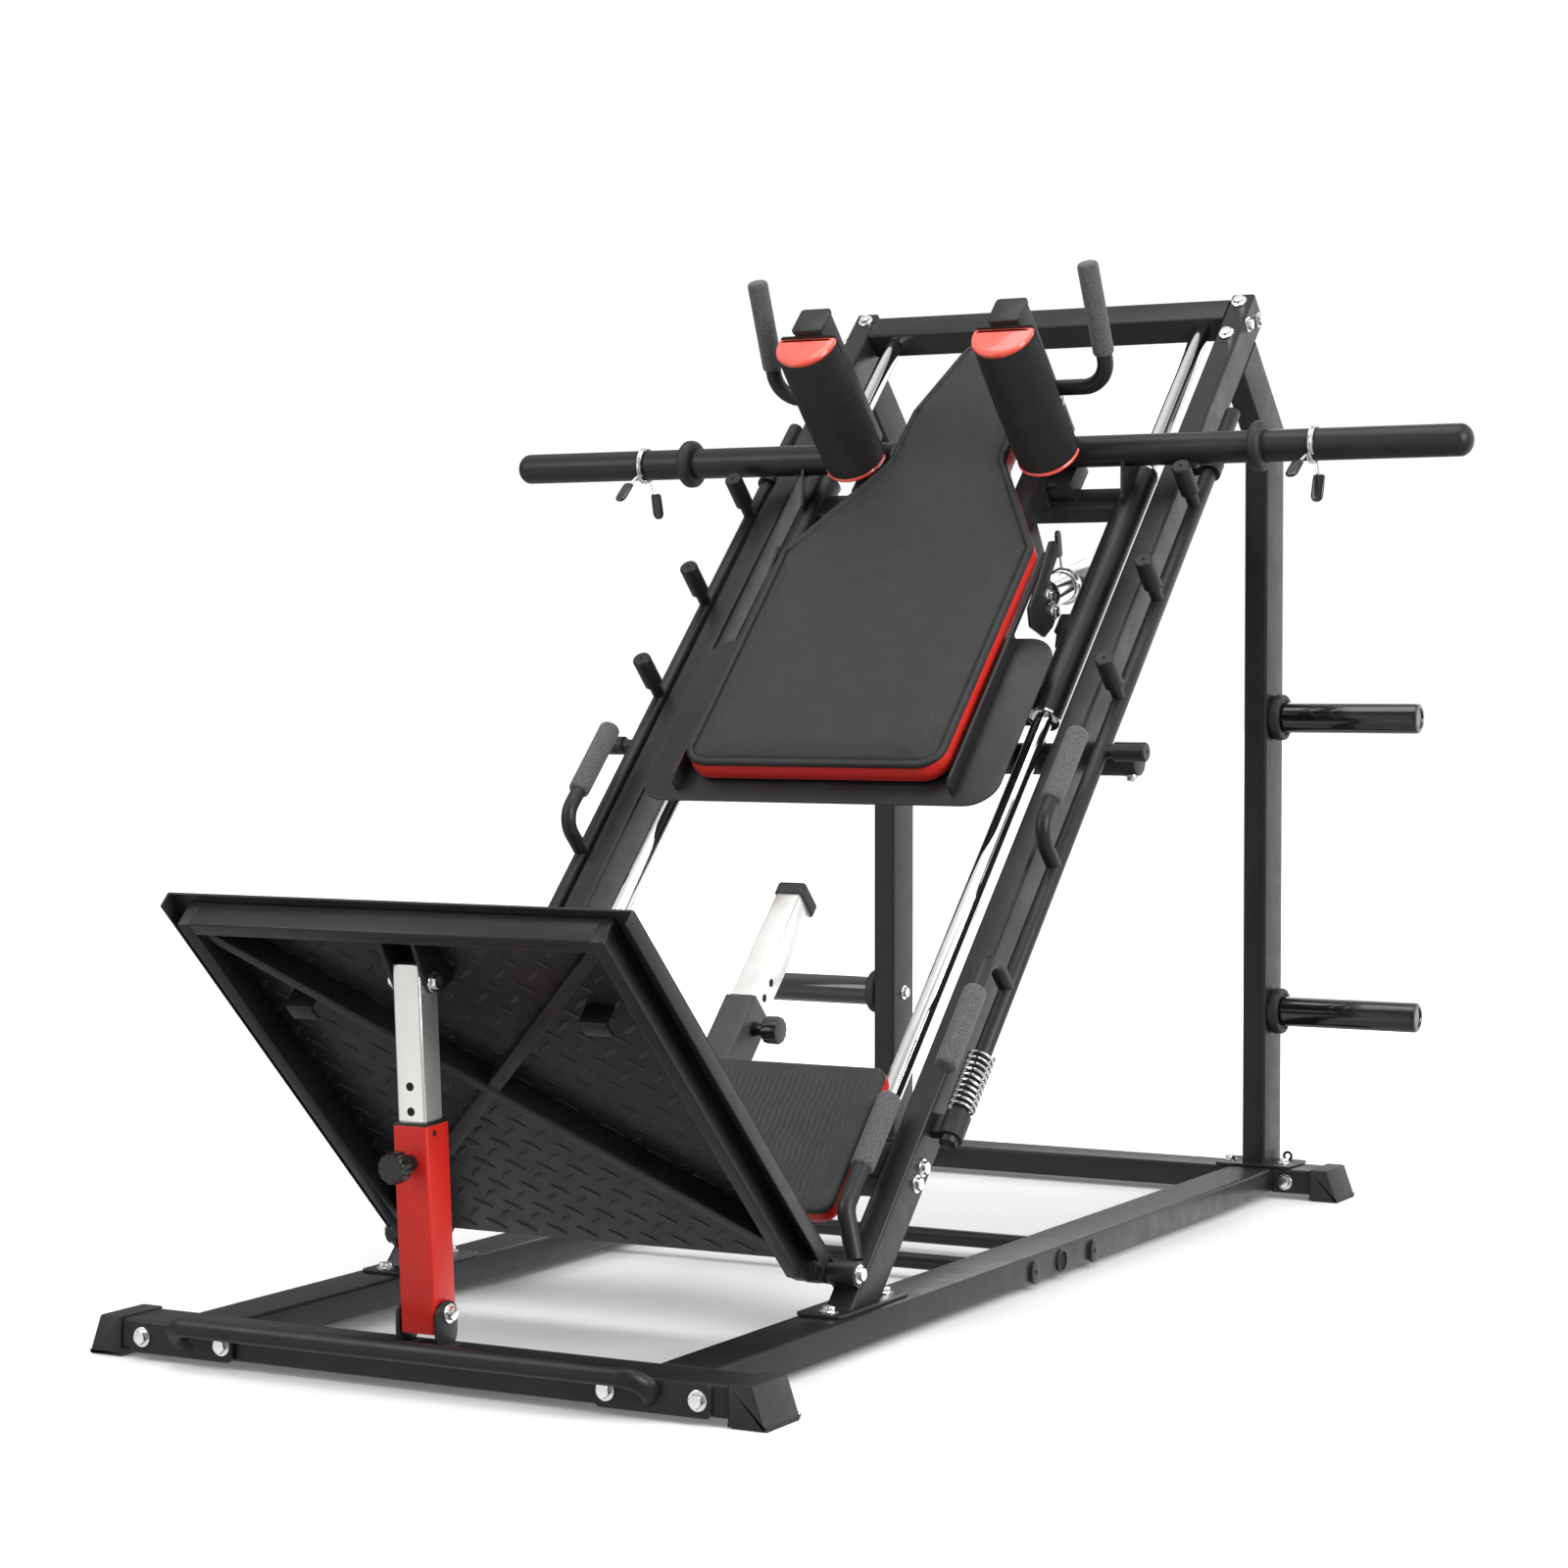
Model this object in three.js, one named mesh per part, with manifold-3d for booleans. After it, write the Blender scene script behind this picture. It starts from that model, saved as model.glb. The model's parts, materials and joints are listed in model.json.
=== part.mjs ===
// Hack squat machine: a welded base and two 45 degree rails, a back-pad carriage that slides on two
// guide rods, turning safety rods beside the rails, a hinged footplate on a telescopic post, and an
// adjustable rubber stop behind the seat. Millimetres, +Z up, origin at the middle of the footprint.
import * as THREE from 'three';
import { mergeVertices } from 'three/addons/utils/BufferGeometryUtils.js';
import Module from 'manifold-3d';

const wasm = await Module();
wasm.setup();

// ---- driving dimensions -------------------------------------------------------------------------
const GAP = 0.3; // clearance between pieces that touch
const WALL = 2.5; // wall of the structural tubes
const ORIGIN_Y = 1001.05; // from the front crossbar's frame to the middle of the footprint

const BASE = { inner: 306, outer: 386, low: 10, high: 50 }; // 80 x 40 tubes on the floor
const FRONT_BAR = { front: 2, back: 82 };
const REAR_BAR = { front: 1966, back: 2050 };
const CROSSBAR_HALF = 446;

const INCLINE = { y: 464.4, z: 49.3, angle: Math.PI / 4 }; // s runs up the rails, n stands off their front
const RAIL = { inner: 326, outer: 366, depth: 60, top: 2048 };
const RAIL_FOOT = { front: 424, back: 625, thick: 5 };
const TOP_BEAM = { low: 1989, high: 2039, depth: 50 };
const UPRIGHT = { front: 1975, back: 2055, low: 55, lean: [1920, 2000] };

const GUIDE = { x: 283, n: -25, radius: 15, low: 286, high: 1988.7, bore: 15.4, tube: 24 };
const CARRIAGE = { low: 1094, high: 1640 };
const SLEEVE = { s: 1615, n: 48, radius: 25, inner: 120, tip: 842, collar: 504, clip: 593 };
const HORN = { x: 150, base: [1446, -102.5], along: [0.842, -0.54], radius: 25, length: 185, clip: 75 };
const HANDLE_PATH = [[193, 1620, 177], [291, 1620, 177], [287, 1690.3, 357.9]]; // shoulder handle's corners
const SHOULDER_GRIP_LENGTH = 148;
const LOCK = { x: 395, n: -24, radius: 12.5, low: 300, high: 1780, pegs: [1136, 1346, 1556], pegTop: 66 };
const SIDE_PEG = { s: 1031, radius: 14, tip: 468 };
const LOCK_HANDLES = { n: 55, radius: 11, bend: 32, upper: [800, 985], lower: [572, 380] };
const GRIP_RADIUS = 16.5; // foam sleeves on every handle
const BRACE = { s: 1072, n: -84.5, radius: 24, half: 428 };
const CROSS_TUBES = { cross_tube_front: 995, cross_tube_rear: 1205 };
const PEG_HEIGHTS = { low: 309, high: 801 };
const STORAGE_PEG = { y: 2015, radius: 25, tip: 618, collar: 38 };

const PIVOT = { s: 53, n: 17 }; // footplate hinge, just in front of the rails' lower ends
const PLATE = { half: 340.5, low: 26, high: 727, tilt: 0.019, rim: 23 };
const PLATE_FRAME = { depth: 38, inner: 291, outer: 311, bottom: 40, bar: [693, 715] };
const POST = { y: 41, z: 92, topY: 15, topZ: 502 }; // lower and upper pivots of the support post
const POST_LENGTH = Math.hypot(POST.topY - POST.y, POST.topZ - POST.z);
const POST_HOLES = { pin: 190, pitch: 31 }; // heights above the lower pivot
const STOP = { low: 285.3, high: 521, cap: [718, 739], pin: 483, pitch: 28.7, n: -30 };
const HOLE_STEPS = [-2, -1, 0, 1, 2, 3]; // holes of both telescopes, counted from the engaged one

// ---- colours --------------------------------------------------------------------------------------
const finish = (color, roughness, metalness) => ({ color, roughness, metalness, flatShading: true });
const BLACK = finish(0x1b1b1c, 0.5, 0.4);
const GLOSS = finish(0x101011, 0.25, 0.3);
const CHROME = finish(0xd9dadc, 0.12, 1);
const SATIN = finish(0xd4d3cf, 0.4, 0.8);
const ZINC = finish(0xc4c6c9, 0.3, 0.9);
const RED = finish(0xd32b20, 0.45, 0.1);
const FOAM = finish(0x4a4a4b, 0.95, 0);
const PAD = finish(0x2b2b2d, 0.8, 0);
const RUBBER = finish(0x202021, 0.8, 0);

// ---- solids -----------------------------------------------------------------------------------------
function toSolid(geometry) {
  const bare = geometry.clone();
  bare.deleteAttribute('normal');
  bare.deleteAttribute('uv');
  const merged = mergeVertices(bare, 1e-4);
  const vertProperties = new Float32Array(merged.attributes.position.array);
  const triVerts = new Uint32Array(merged.index.array);
  return new wasm.Manifold(new wasm.Mesh({ numProp: 3, vertProperties, triVerts }));
}

function toGeometry(solid) {
  const mesh = solid.getMesh();
  const geometry = new THREE.BufferGeometry();
  geometry.setAttribute('position', new THREE.BufferAttribute(new Float32Array(mesh.vertProperties), 3));
  geometry.setIndex(new THREE.BufferAttribute(new Uint32Array(mesh.triVerts), 1));
  geometry.computeVertexNormals();
  return geometry;
}

const join = (...pieces) => toGeometry(pieces.map(toSolid).reduce((sum, piece) => sum.add(piece)));
const cut = (body, ...tools) => toGeometry(
  tools.map(toSolid).reduce((rest, tool) => rest.subtract(tool), toSolid(body)));

function box([x0, x1], [y0, y1], [z0, z1]) {
  const geometry = new THREE.BoxGeometry(x1 - x0, y1 - y0, z1 - z0);
  return geometry.translate((x0 + x1) / 2, (y0 + y1) / 2, (z0 + z1) / 2);
}

const circle = (radius, sides) => Array.from({ length: sides }, (_, i) => {
  const turn = ((i + 0.5) / sides) * 2 * Math.PI;
  return new THREE.Vector2(radius * Math.cos(turn), radius * Math.sin(turn));
});

function ringShape(radius, bore, sides) {
  const shape = new THREE.Shape(circle(radius, sides));
  if (bore) shape.holes.push(new THREE.Path(circle(bore, sides).reverse()));
  return shape;
}

// A round bar or tube from one point to another.
function bar(radius, from, to, { bore = 0, sides = 20 } = {}) {
  const start = new THREE.Vector3(...from);
  const along = new THREE.Vector3(...to).sub(start);
  const settings = { depth: along.length(), bevelEnabled: false };
  const geometry = new THREE.ExtrudeGeometry(ringShape(radius, bore, sides), settings);
  const up = new THREE.Vector3(0, 0, 1);
  geometry.applyQuaternion(new THREE.Quaternion().setFromUnitVectors(up, along.normalize()));
  return geometry.translate(start.x, start.y, start.z);
}

// An outline in the plane of Y and Z, extruded along X.
function extrudeX(points, [x0, x1]) {
  const shape = new THREE.Shape(points.map(([y, z]) => new THREE.Vector2(y, z)));
  const geometry = new THREE.ExtrudeGeometry(shape, { depth: x1 - x0, bevelEnabled: false });
  const turn = new THREE.Matrix4().makeBasis(
    new THREE.Vector3(0, 1, 0), new THREE.Vector3(0, 0, 1), new THREE.Vector3(1, 0, 0));
  return geometry.applyMatrix4(turn).translate(x0, 0, 0);
}

// An outline in the plane of X and Y, extruded along Z.
function extrudeZ(points, [z0, z1]) {
  const shape = new THREE.Shape(points.map(([x, y]) => new THREE.Vector2(x, y)));
  return new THREE.ExtrudeGeometry(shape, { depth: z1 - z0, bevelEnabled: false }).translate(0, 0, z0);
}

// A path of straight runs and round bends, whose rings fall only where the bends need them.
class BentPath extends THREE.Curve {
  constructor(corners, bend, arcSteps) {
    super();
    const points = corners.map((corner) => new THREE.Vector3(...corner));
    const last = points.length - 1;
    const direction = (i) => points[i + 1].clone().sub(points[i]).normalize();
    this.rings = [{ point: points[0], tangent: direction(0) }];
    for (let i = 1; i < last; i += 1) {
      const arrive = direction(i - 1);
      const leave = direction(i);
      const turn = arrive.angleTo(leave);
      const reach = bend * Math.tan(turn / 2);
      const toCentre = leave.clone().sub(arrive).normalize();
      const centre = points[i].clone().addScaledVector(toCentre, bend / Math.cos(turn / 2));
      const start = points[i].clone().addScaledVector(arrive, -reach);
      const axis = arrive.clone().cross(leave).normalize();
      for (let k = 0; k <= arcSteps; k += 1) {
        const angle = (turn * k) / arcSteps;
        const point = start.clone().sub(centre).applyAxisAngle(axis, angle).add(centre);
        this.rings.push({ point, tangent: arrive.clone().applyAxisAngle(axis, angle) });
      }
    }
    this.rings.push({ point: points[last], tangent: direction(last - 1) });
  }

  ring(u) {
    return this.rings[Math.round(u * (this.rings.length - 1))];
  }

  getPointAt(u) {
    return this.ring(u).point.clone();
  }

  getTangentAt(u) {
    return this.ring(u).tangent.clone();
  }

  getSpacedPoints() {
    return this.rings.map(({ point }) => point.clone());
  }
}

function bentBar(radius, corners, bend, { sides = 12, arcSteps = 4 } = {}) {
  const extrudePath = new BentPath(corners, bend, arcSteps);
  const steps = extrudePath.rings.length - 1;
  return new THREE.ExtrudeGeometry(ringShape(radius, 0, sides), { extrudePath, steps, bevelEnabled: false });
}

// A rectangular tube along one axis, with open ends.
function squareTube(spans, axis, wall = WALL) {
  const inside = spans.map(([low, high], i) => (
    i === axis ? [low - 1, high + 1] : [low + wall, high - wall]));
  return cut(box(...spans), box(...inside));
}

// A hexagonal bolt head. Its first point lies inside the metal and its second is the head's outer face.
const boltHead = (from, to) => bar(10, from, to, { sides: 6 });

const mirrored = (geometry, side) => (side > 0 ? geometry : toGeometry(toSolid(geometry).mirror([1, 0, 0])));
const spanOn = (side, inner, outer) => (side > 0 ? [inner, outer] : [-outer, -inner]);

// An outline with rounded corners.
function roundedOutline(x0, x1, y0, y1, radius, steps = 4) {
  const [right, left, top, bottom] = [x1 - radius, x0 + radius, y1 - radius, y0 + radius];
  const centres = [[right, top], [left, top], [left, bottom], [right, bottom]];
  return centres.flatMap(([cx, cy], quarter) => Array.from({ length: steps + 1 }, (_, k) => {
    const turn = ((quarter + k / steps) * Math.PI) / 2;
    return [cx + radius * Math.cos(turn), cy + radius * Math.sin(turn)];
  }));
}

// ---- the scene graph ----------------------------------------------------------------------------
const machine = new THREE.Group();
machine.position.y = -ORIGIN_Y;
const incline = new THREE.Group();
incline.position.set(0, INCLINE.y, INCLINE.z);
incline.rotation.x = INCLINE.angle;
machine.add(incline);
const footplate = new THREE.Group();
footplate.position.set(0, PIVOT.s, PIVOT.n);
footplate.rotation.x = Math.asin(PLATE.tilt);
incline.add(footplate);
const post = new THREE.Group();
post.position.set(0, POST.y, POST.z);
post.rotation.x = Math.atan2(POST.y - POST.topY, POST.topZ - POST.z);
machine.add(post);

function place(group, name, geometry, material) {
  const mesh = new THREE.Mesh(geometry, new THREE.MeshStandardMaterial(material));
  mesh.name = name;
  group.add(mesh);
}

const SIDES = [['left', -1], ['right', 1]];
function placePair(group, name, geometry, material) {
  for (const [side, sign] of SIDES) place(group, `${name}_${side}`, mirrored(geometry, sign), material);
}

incline.updateMatrix();
const toWorld = (geometry) => geometry.clone().applyMatrix4(incline.matrix);

// ---- base -------------------------------------------------------------------------------------------
function frontCrossbar() {
  const span = [FRONT_BAR.front, FRONT_BAR.back];
  const tube = squareTube([[-CROSSBAR_HALF, CROSSBAR_HALF], span, [BASE.low, BASE.high]], 0);
  const earOutline = [[15, 49], [60, 49], [60, 96], [51, 107], [31, 107], [15, 96]];
  const ears = SIDES.map(([, sign]) => extrudeX(earOutline, spanOn(sign, 26.5, 31)));
  const pivotBolt = bar(6, [-38, POST.y, POST.z], [32, POST.y, POST.z], { sides: 10 });
  const head = boltHead([30, POST.y, POST.z], [41, POST.y, POST.z]);
  return join(tube, ...ears, pivotBolt, head);
}

// A moulded cap over the crossbar's end; its outer face slopes inwards towards the top.
function footCap(crossbar, inner) {
  const [y0, y1] = [crossbar.front - 3.2, crossbar.back + 3];
  const outline = [[inner, 0], [497.5, 0], [479, 52.5], [inner, 52.5]];
  return extrudeZ(outline, [0, y1 - y0]).rotateX(Math.PI / 2).translate(0, y1, 0);
}

function frontStepBar() {
  const tube = bentBar(13, [[-338, 0.5, 26], [-362, -30.5, 55], [362, -30.5, 55], [338, 0.5, 26]], 26);
  const faceY = FRONT_BAR.front - GAP;
  const plates = SIDES.map(([, sign]) => box(spanOn(sign, 268, 425), [-4.5, faceY], [9, 49]));
  const bolts = [-408.5, -282.6, 282.6, 408.5].map((x) => boltHead([x, -4, 30], [x, -12, 30]));
  const behind = box([-400, 400], [faceY, 60], [0, 80]);
  return join(cut(tube, behind), ...plates, ...bolts);
}

place(machine, 'front_crossbar', frontCrossbar(), BLACK);
const baseZ = [BASE.low, BASE.high];
const rearSpans = [[-CROSSBAR_HALF - 3, CROSSBAR_HALF + 3], [REAR_BAR.front, REAR_BAR.back], baseZ];
const baseRailSpans = [[BASE.inner, BASE.outer], [FRONT_BAR.back + GAP, REAR_BAR.front - GAP], baseZ];
place(machine, 'rear_crossbar', squareTube(rearSpans, 0), BLACK);
placePair(machine, 'base_rail', squareTube(baseRailSpans, 1), BLACK);
placePair(machine, 'foot_cap_front', footCap(FRONT_BAR, CROSSBAR_HALF + GAP), RUBBER);
placePair(machine, 'foot_cap_rear', footCap(REAR_BAR, CROSSBAR_HALF + 3), RUBBER);
place(machine, 'front_step_bar', frontStepBar(), BLACK);

for (const [name, y] of Object.entries(CROSS_TUBES)) {
  const half = BASE.inner - GAP;
  const tube = bar(12, [-half, y, 27], [half, y, 27], { bore: 10, sides: 20 });
  place(machine, name, tube, BLACK);
}

// ---- rails and uprights -----------------------------------------------------------------------------
function rail() {
  const span = [RAIL.inner, RAIL.outer];
  const tube = toWorld(squareTube([span, [-80, RAIL.top], [-RAIL.depth, 0]], 1));
  const footTop = BASE.high + RAIL_FOOT.thick;
  const below = box([300, 400], [300, 700], [-100, footTop - 1]);
  const foot = box([306, 374], [RAIL_FOOT.front, RAIL_FOOT.back], [BASE.high + GAP, footTop]);
  const footBolts = [445, 603].map((y) => boltHead([346, y, footTop - 1], [346, y, footTop + 8]));
  const middle = (RAIL.inner + RAIL.outer) / 2;
  const boss = join(
    bar(17, [RAIL.inner, PIVOT.s, PIVOT.n], [RAIL.outer, PIVOT.s, PIVOT.n]),
    box([RAIL.inner, RAIL.outer], [PIVOT.s - 13, PIVOT.s + 13], [-1, 8]));
  const hingePin = bar(7, [RAIL.inner - 24, PIVOT.s, PIVOT.n], [middle, PIVOT.s, PIVOT.n], { sides: 10 });
  const side = (s, n) => boltHead([RAIL.outer - 1, s, n], [RAIL.outer + 8, s, n]);
  const bolts = [side(PIVOT.s, PIVOT.n), side(240, -35), side(267, -35), side(2030, -40), side(1990, -16)];
  const frontBolts = [1950, 2030].map((s) => boltHead([344, s, -1], [344, s, 7]));
  const bearings = [[310, 350], [1636, 1660]].map(([s0, s1]) => rodBearing(s0, s1));
  const onRail = [boss, hingePin, ...bolts, ...frontBolts, ...bearings].map(toWorld);
  return join(cut(tube, below), foot, ...footBolts, ...onRail);
}

// A sleeve round the safety rod on a plate welded to the outer face of the rail.
function rodBearing(s0, s1) {
  const sleeve = bar(18, [LOCK.x, s0, LOCK.n], [LOCK.x, s1, LOCK.n], { bore: 13.3 });
  const plate = box([RAIL.outer - 1, LOCK.x - 14.5], [s0 + 4, s1 - 4], [LOCK.n - 8, LOCK.n + 8]);
  return join(sleeve, plate);
}

function upright() {
  const [lean0, lean1] = UPRIGHT.lean;
  const at = (s, n) => {
    const point = new THREE.Vector3(0, s, n).applyMatrix4(incline.matrix);
    return [point.y, point.z];
  };
  // A point where the edge of the leaning part, at s, meets a vertical edge at y.
  const bend = (s, y) => [y, Math.SQRT2 * s - (y - INCLINE.y) + INCLINE.z];
  const profile = (inset, end, low) => [
    [UPRIGHT.front + inset, low], [UPRIGHT.back - inset, low], bend(lean1 - inset, UPRIGHT.back - inset),
    at(lean1 - inset, end), at(lean0 + inset, end), bend(lean0 + inset, UPRIGHT.front + inset),
  ];
  const outer = extrudeX(profile(0, -RAIL.depth - GAP, UPRIGHT.low - 1), [RAIL.inner, RAIL.outer]);
  const hollowSpan = [RAIL.inner + WALL, RAIL.outer - WALL];
  const hollow = extrudeX(profile(WALL, -RAIL.depth + 2, UPRIGHT.low + 2), hollowSpan);
  const plate = box([281, 413], [1966, 2056], [BASE.high + GAP, UPRIGHT.low]);
  const bolts = [297, 397].map((x) => boltHead([x, 2008, UPRIGHT.low - 1], [x, 2008, UPRIGHT.low + 8]));
  return join(cut(outer, hollow), plate, ...bolts);
}

placePair(machine, 'rail', rail(), BLACK);
placePair(machine, 'upright', upright(), BLACK);

function storagePeg(z) {
  const { y, radius, tip } = STORAGE_PEG;
  const start = RAIL.outer + GAP;
  const tube = bar(radius, [start, y, z], [tip, y, z], { bore: radius - 3, sides: 24 });
  const collar = bar(STORAGE_PEG.collar, [start, y, z], [start + 18, y, z], { bore: radius - 1, sides: 24 });
  const end = bar(radius - 2, [tip - 6, y, z], [tip - 0.5, y, z], { sides: 24 });
  return join(tube, collar, end);
}
for (const [label, z] of Object.entries(PEG_HEIGHTS)) {
  placePair(machine, `storage_peg_${label}`, storagePeg(z), GLOSS);
}

// A round bar across the back of both rails, on two short blocks.
function braceBar() {
  const { s, n, radius, half } = BRACE;
  const tube = bar(radius, [-half, s, n], [half, s, n], { bore: radius - 4 });
  const depth = [n + 15.5, -RAIL.depth - GAP];
  const blocks = [-340, 340].map((x) => box([x - 12, x + 12], [s - 12, s + 12], depth));
  return join(tube, ...blocks);
}

const betweenRails = [-RAIL.inner + GAP, RAIL.inner - GAP];
const topBeam = squareTube([betweenRails, [TOP_BEAM.low, TOP_BEAM.high], [-TOP_BEAM.depth, 0]], 0);
const guideRod = bar(GUIDE.radius, [GUIDE.x, GUIDE.low, GUIDE.n], [GUIDE.x, GUIDE.high, GUIDE.n]);
place(incline, 'top_beam', topBeam, BLACK);
place(incline, 'lower_cross_member', squareTube([betweenRails, [225, 285], [-55, -5]], 0), BLACK);
place(incline, 'brace_bar', braceBar(), BLACK);
placePair(incline, 'guide_rod', guideRod, CHROME);

// ---- seat and low handles -----------------------------------------------------------------------
function seatPad() {
  const outline = roundedOutline(-297, 297, 135, 383, 22);
  const blocks = [-200, 200].map((x) => box([x - 30, x + 30], [232, 278], [-5 + GAP, 6]));
  return join(extrudeZ(outline, [4, 30]), ...blocks);
}

function lowHandle() {
  const tube = bentBar(12.5, [[341, 90, GAP], [322, 140, 38], [322, 328, 38]], 34);
  const grip = bar(GRIP_RADIUS, [322, 207, 38], [322, 326, 38], { sides: 14 });
  const behind = box([300, 400], [40, 160], [-60, GAP]);
  return join(cut(tube, behind), grip);
}

place(incline, 'seat_pad', seatPad(), PAD);
placePair(incline, 'low_handle', lowHandle(), BLACK);

// ---- adjustable stop ------------------------------------------------------------------------------
function stopSleeve() {
  const tube = squareTube([[-25, 25], [STOP.low, STOP.high], [-60, 0]], 1, 3);
  return cut(tube, bar(6, [20, STOP.pin, STOP.n], [30, STOP.pin, STOP.n], { sides: 10 }));
}

function stopTube() {
  const bottom = STOP.pin - 2 * STOP.pitch - 18;
  const tube = squareTube([[-20, 20], [bottom, STOP.cap[0] + 14], [-55, -5]], 1, 2.2);
  const places = HOLE_STEPS.map((k) => STOP.pin + k * STOP.pitch);
  return cut(tube, ...places.map((s) => bar(6.5, [14, s, STOP.n], [24, s, STOP.n], { sides: 10 })));
}

function stopCap() {
  const [low] = STOP.cap;
  const socket = box([-20 - GAP, 20 + GAP], [low - 1, low + 14 + GAP], [-55 - GAP, -5 + GAP]);
  return cut(box([-23, 23], STOP.cap, [-58, -2]), socket);
}

// A pull knob along +X from its housing face, with its pin in the tube wall behind.
function pullKnob(faceX) {
  const pin = bar(5, [faceX - 3, 0, 0], [faceX + 22, 0, 0], { sides: 10 });
  const housing = bar(10, [faceX + GAP, 0, 0], [faceX + 20, 0, 0], { sides: 14 });
  const lobes = Array.from({ length: 20 }, (_, i) => {
    const radius = i % 2 ? 17.5 : 20;
    const turn = (i / 20) * 2 * Math.PI;
    return [radius * Math.cos(turn), radius * Math.sin(turn)];
  });
  return join(pin, housing, extrudeX(lobes, [faceX + 19, faceX + 44]));
}

place(incline, 'stop_sleeve', stopSleeve(), BLACK);
place(incline, 'stop_tube', stopTube(), SATIN);
place(incline, 'stop_cap', stopCap(), RUBBER);
place(incline, 'stop_knob', pullKnob(25).translate(0, STOP.pin, STOP.n), RUBBER);

// ---- carriage ---------------------------------------------------------------------------------------
function carriageFrame() {
  const tubes = [-1, 1].map((side) => bar(GUIDE.tube, [side * GUIDE.x, CARRIAGE.low, GUIDE.n],
    [side * GUIDE.x, CARRIAGE.high, GUIDE.n], { bore: GUIDE.bore, sides: 24 }));
  const reach = [-GUIDE.x + GUIDE.tube - 3, GUIDE.x - GUIDE.tube + 3];
  const lower = squareTube([reach, [CARRIAGE.low + 6, CARRIAGE.low + 56], [-45, 1]], 0);
  const upper = squareTube([reach, [1545, 1595], [-42, -11]], 0);
  const spines = [[-150, -110], [110, 150]].map((span) => squareTube([span, [900, 1588], [0, 40]], 1));
  const blocks = [-130, 130].map((x) => box([x - 20, x + 20], [1550, 1588], [-12, 1]));
  const risers = [[-195, -145], [145, 195]].map((span) => cut(
    box(span, [1560, 1638], [-12, SLEEVE.n - 6]), sleeveClearance(span)));
  const gussetOutline = [[1545, -6], [1640, -6], [1640, 24], [1591, 53], [1556, 18], [1545, 10]];
  const gussets = [-1, 1].map((side) => cut(
    extrudeX(gussetOutline, [side * GUIDE.x - 2.5, side * GUIDE.x + 2.5]), sleeveClearance([-300, 300])));
  const [hornS, hornN] = HORN.base;
  const hangerOutline = [[hornS - 35, 14], [hornS - 8, hornN + 8], [hornS - 4, hornN - 12],
    [hornS + 26, hornN + 4], [hornS + 50, 14]];
  const hanger = extrudeX(hangerOutline, [HORN.x - 5, HORN.x + 5]);
  return join(...tubes, lower, upper, ...spines, ...blocks, ...risers, ...gussets, hanger);
}

// The space the sleeve bar takes in the plates that carry it.
function sleeveClearance([x0, x1]) {
  const { s, n, radius } = SLEEVE;
  return bar(radius + 2 * GAP, [x0 - 2, s, n], [x1 + 2, s, n], { sides: 24 });
}

// The long bar that takes weight plates, with a rubber collar and a domed end.
function sleeveBar() {
  const r = SLEEVE.radius;
  const dome = [0, 1, 2, 3].map((k) => {
    const turn = (k / 4) * (Math.PI / 2);
    return [r * Math.cos(turn), SLEEVE.tip - 20 + 20 * Math.sin(turn)];
  });
  const profile = [[0, SLEEVE.inner], [r, SLEEVE.inner], ...dome, [0, SLEEVE.tip]];
  const lathe = new THREE.LatheGeometry(profile.map(([x, y]) => new THREE.Vector2(x, y)), 28);
  lathe.rotateZ(-Math.PI / 2);
  const collar = bar(39, [SLEEVE.collar - 10, 0, 0], [SLEEVE.collar + 10, 0, 0], { bore: r - 1, sides: 24 });
  const hollow = bar(r - 3, [SLEEVE.inner - 1, 0, 0], [SLEEVE.tip - 25, 0, 0]);
  return cut(join(lathe, collar), hollow).translate(0, SLEEVE.s, SLEEVE.n);
}

// Flat plate under the back pad, with the folded side strips that locate the pad.
function backPlate() {
  const [low, high] = [GAP + 40, GAP + 44];
  const sheet = extrudeZ(roundedOutline(-298, 298, 856, 1199, 48, 5), [low, high]);
  const outline = [
    [874, high - 1], [1190, high - 1], [1190, 62], [1360, 62], [1360, 72], [884, 72], [874, 64]];
  const strips = [-1, 1].map((side) => extrudeX(outline, spanOn(side, 228, 233)));
  return join(sheet, ...strips);
}

function backPad() {
  const right = [[176, 892], [204.3, 903.7], [216, 932], [218, 1355], [102, 1560], [100, 1683], [55, 1842]];
  const left = right.map(([x, s]) => [-x, s]).reverse();
  return extrudeZ([...right, ...left], [50, 95]);
}

function shoulderPost() {
  const tube = squareTube([[145, 195], [1592, 1643], [SLEEVE.n + SLEEVE.radius + GAP, 336]], 2);
  const top = box([144, 196], [1591.8, 1644], [334, 339]);
  const handle = bentBar(12.5, HANDLE_PATH, 42);
  return join(tube, top, handle);
}

function shoulderRoll() {
  const width = 50;
  const [flat, depth] = [1591.5, 65];
  const arc = Array.from({ length: 13 }, (_, k) => {
    const turn = (k / 12) * Math.PI;
    return [170 - width * Math.cos(turn), flat - 8 - (depth - 8) * Math.sin(turn)];
  });
  return extrudeZ([[120, flat], ...arc, [220, flat]].reverse(), [SLEEVE.n + SLEEVE.radius + GAP, 327.6]);
}

// The short plate horn behind the back pad, slotted over its hanger.
function horn() {
  const [s0, n0] = HORN.base;
  const [ds, dn] = HORN.along;
  const at = (t) => [HORN.x, s0 + ds * t, n0 + dn * t];
  const tube = bar(HORN.radius, at(0), at(HORN.length), { bore: HORN.radius - 3, sides: 24 });
  const cap = bar(HORN.radius - 2, at(HORN.length - 6), at(HORN.length - 0.5), { sides: 24 });
  const slot = box([HORN.x - 5.6, HORN.x + 5.6], [s0 - 40, s0 + 60], [n0 - 40, n0 + 60]);
  return cut(join(tube, cap), slot);
}

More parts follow.
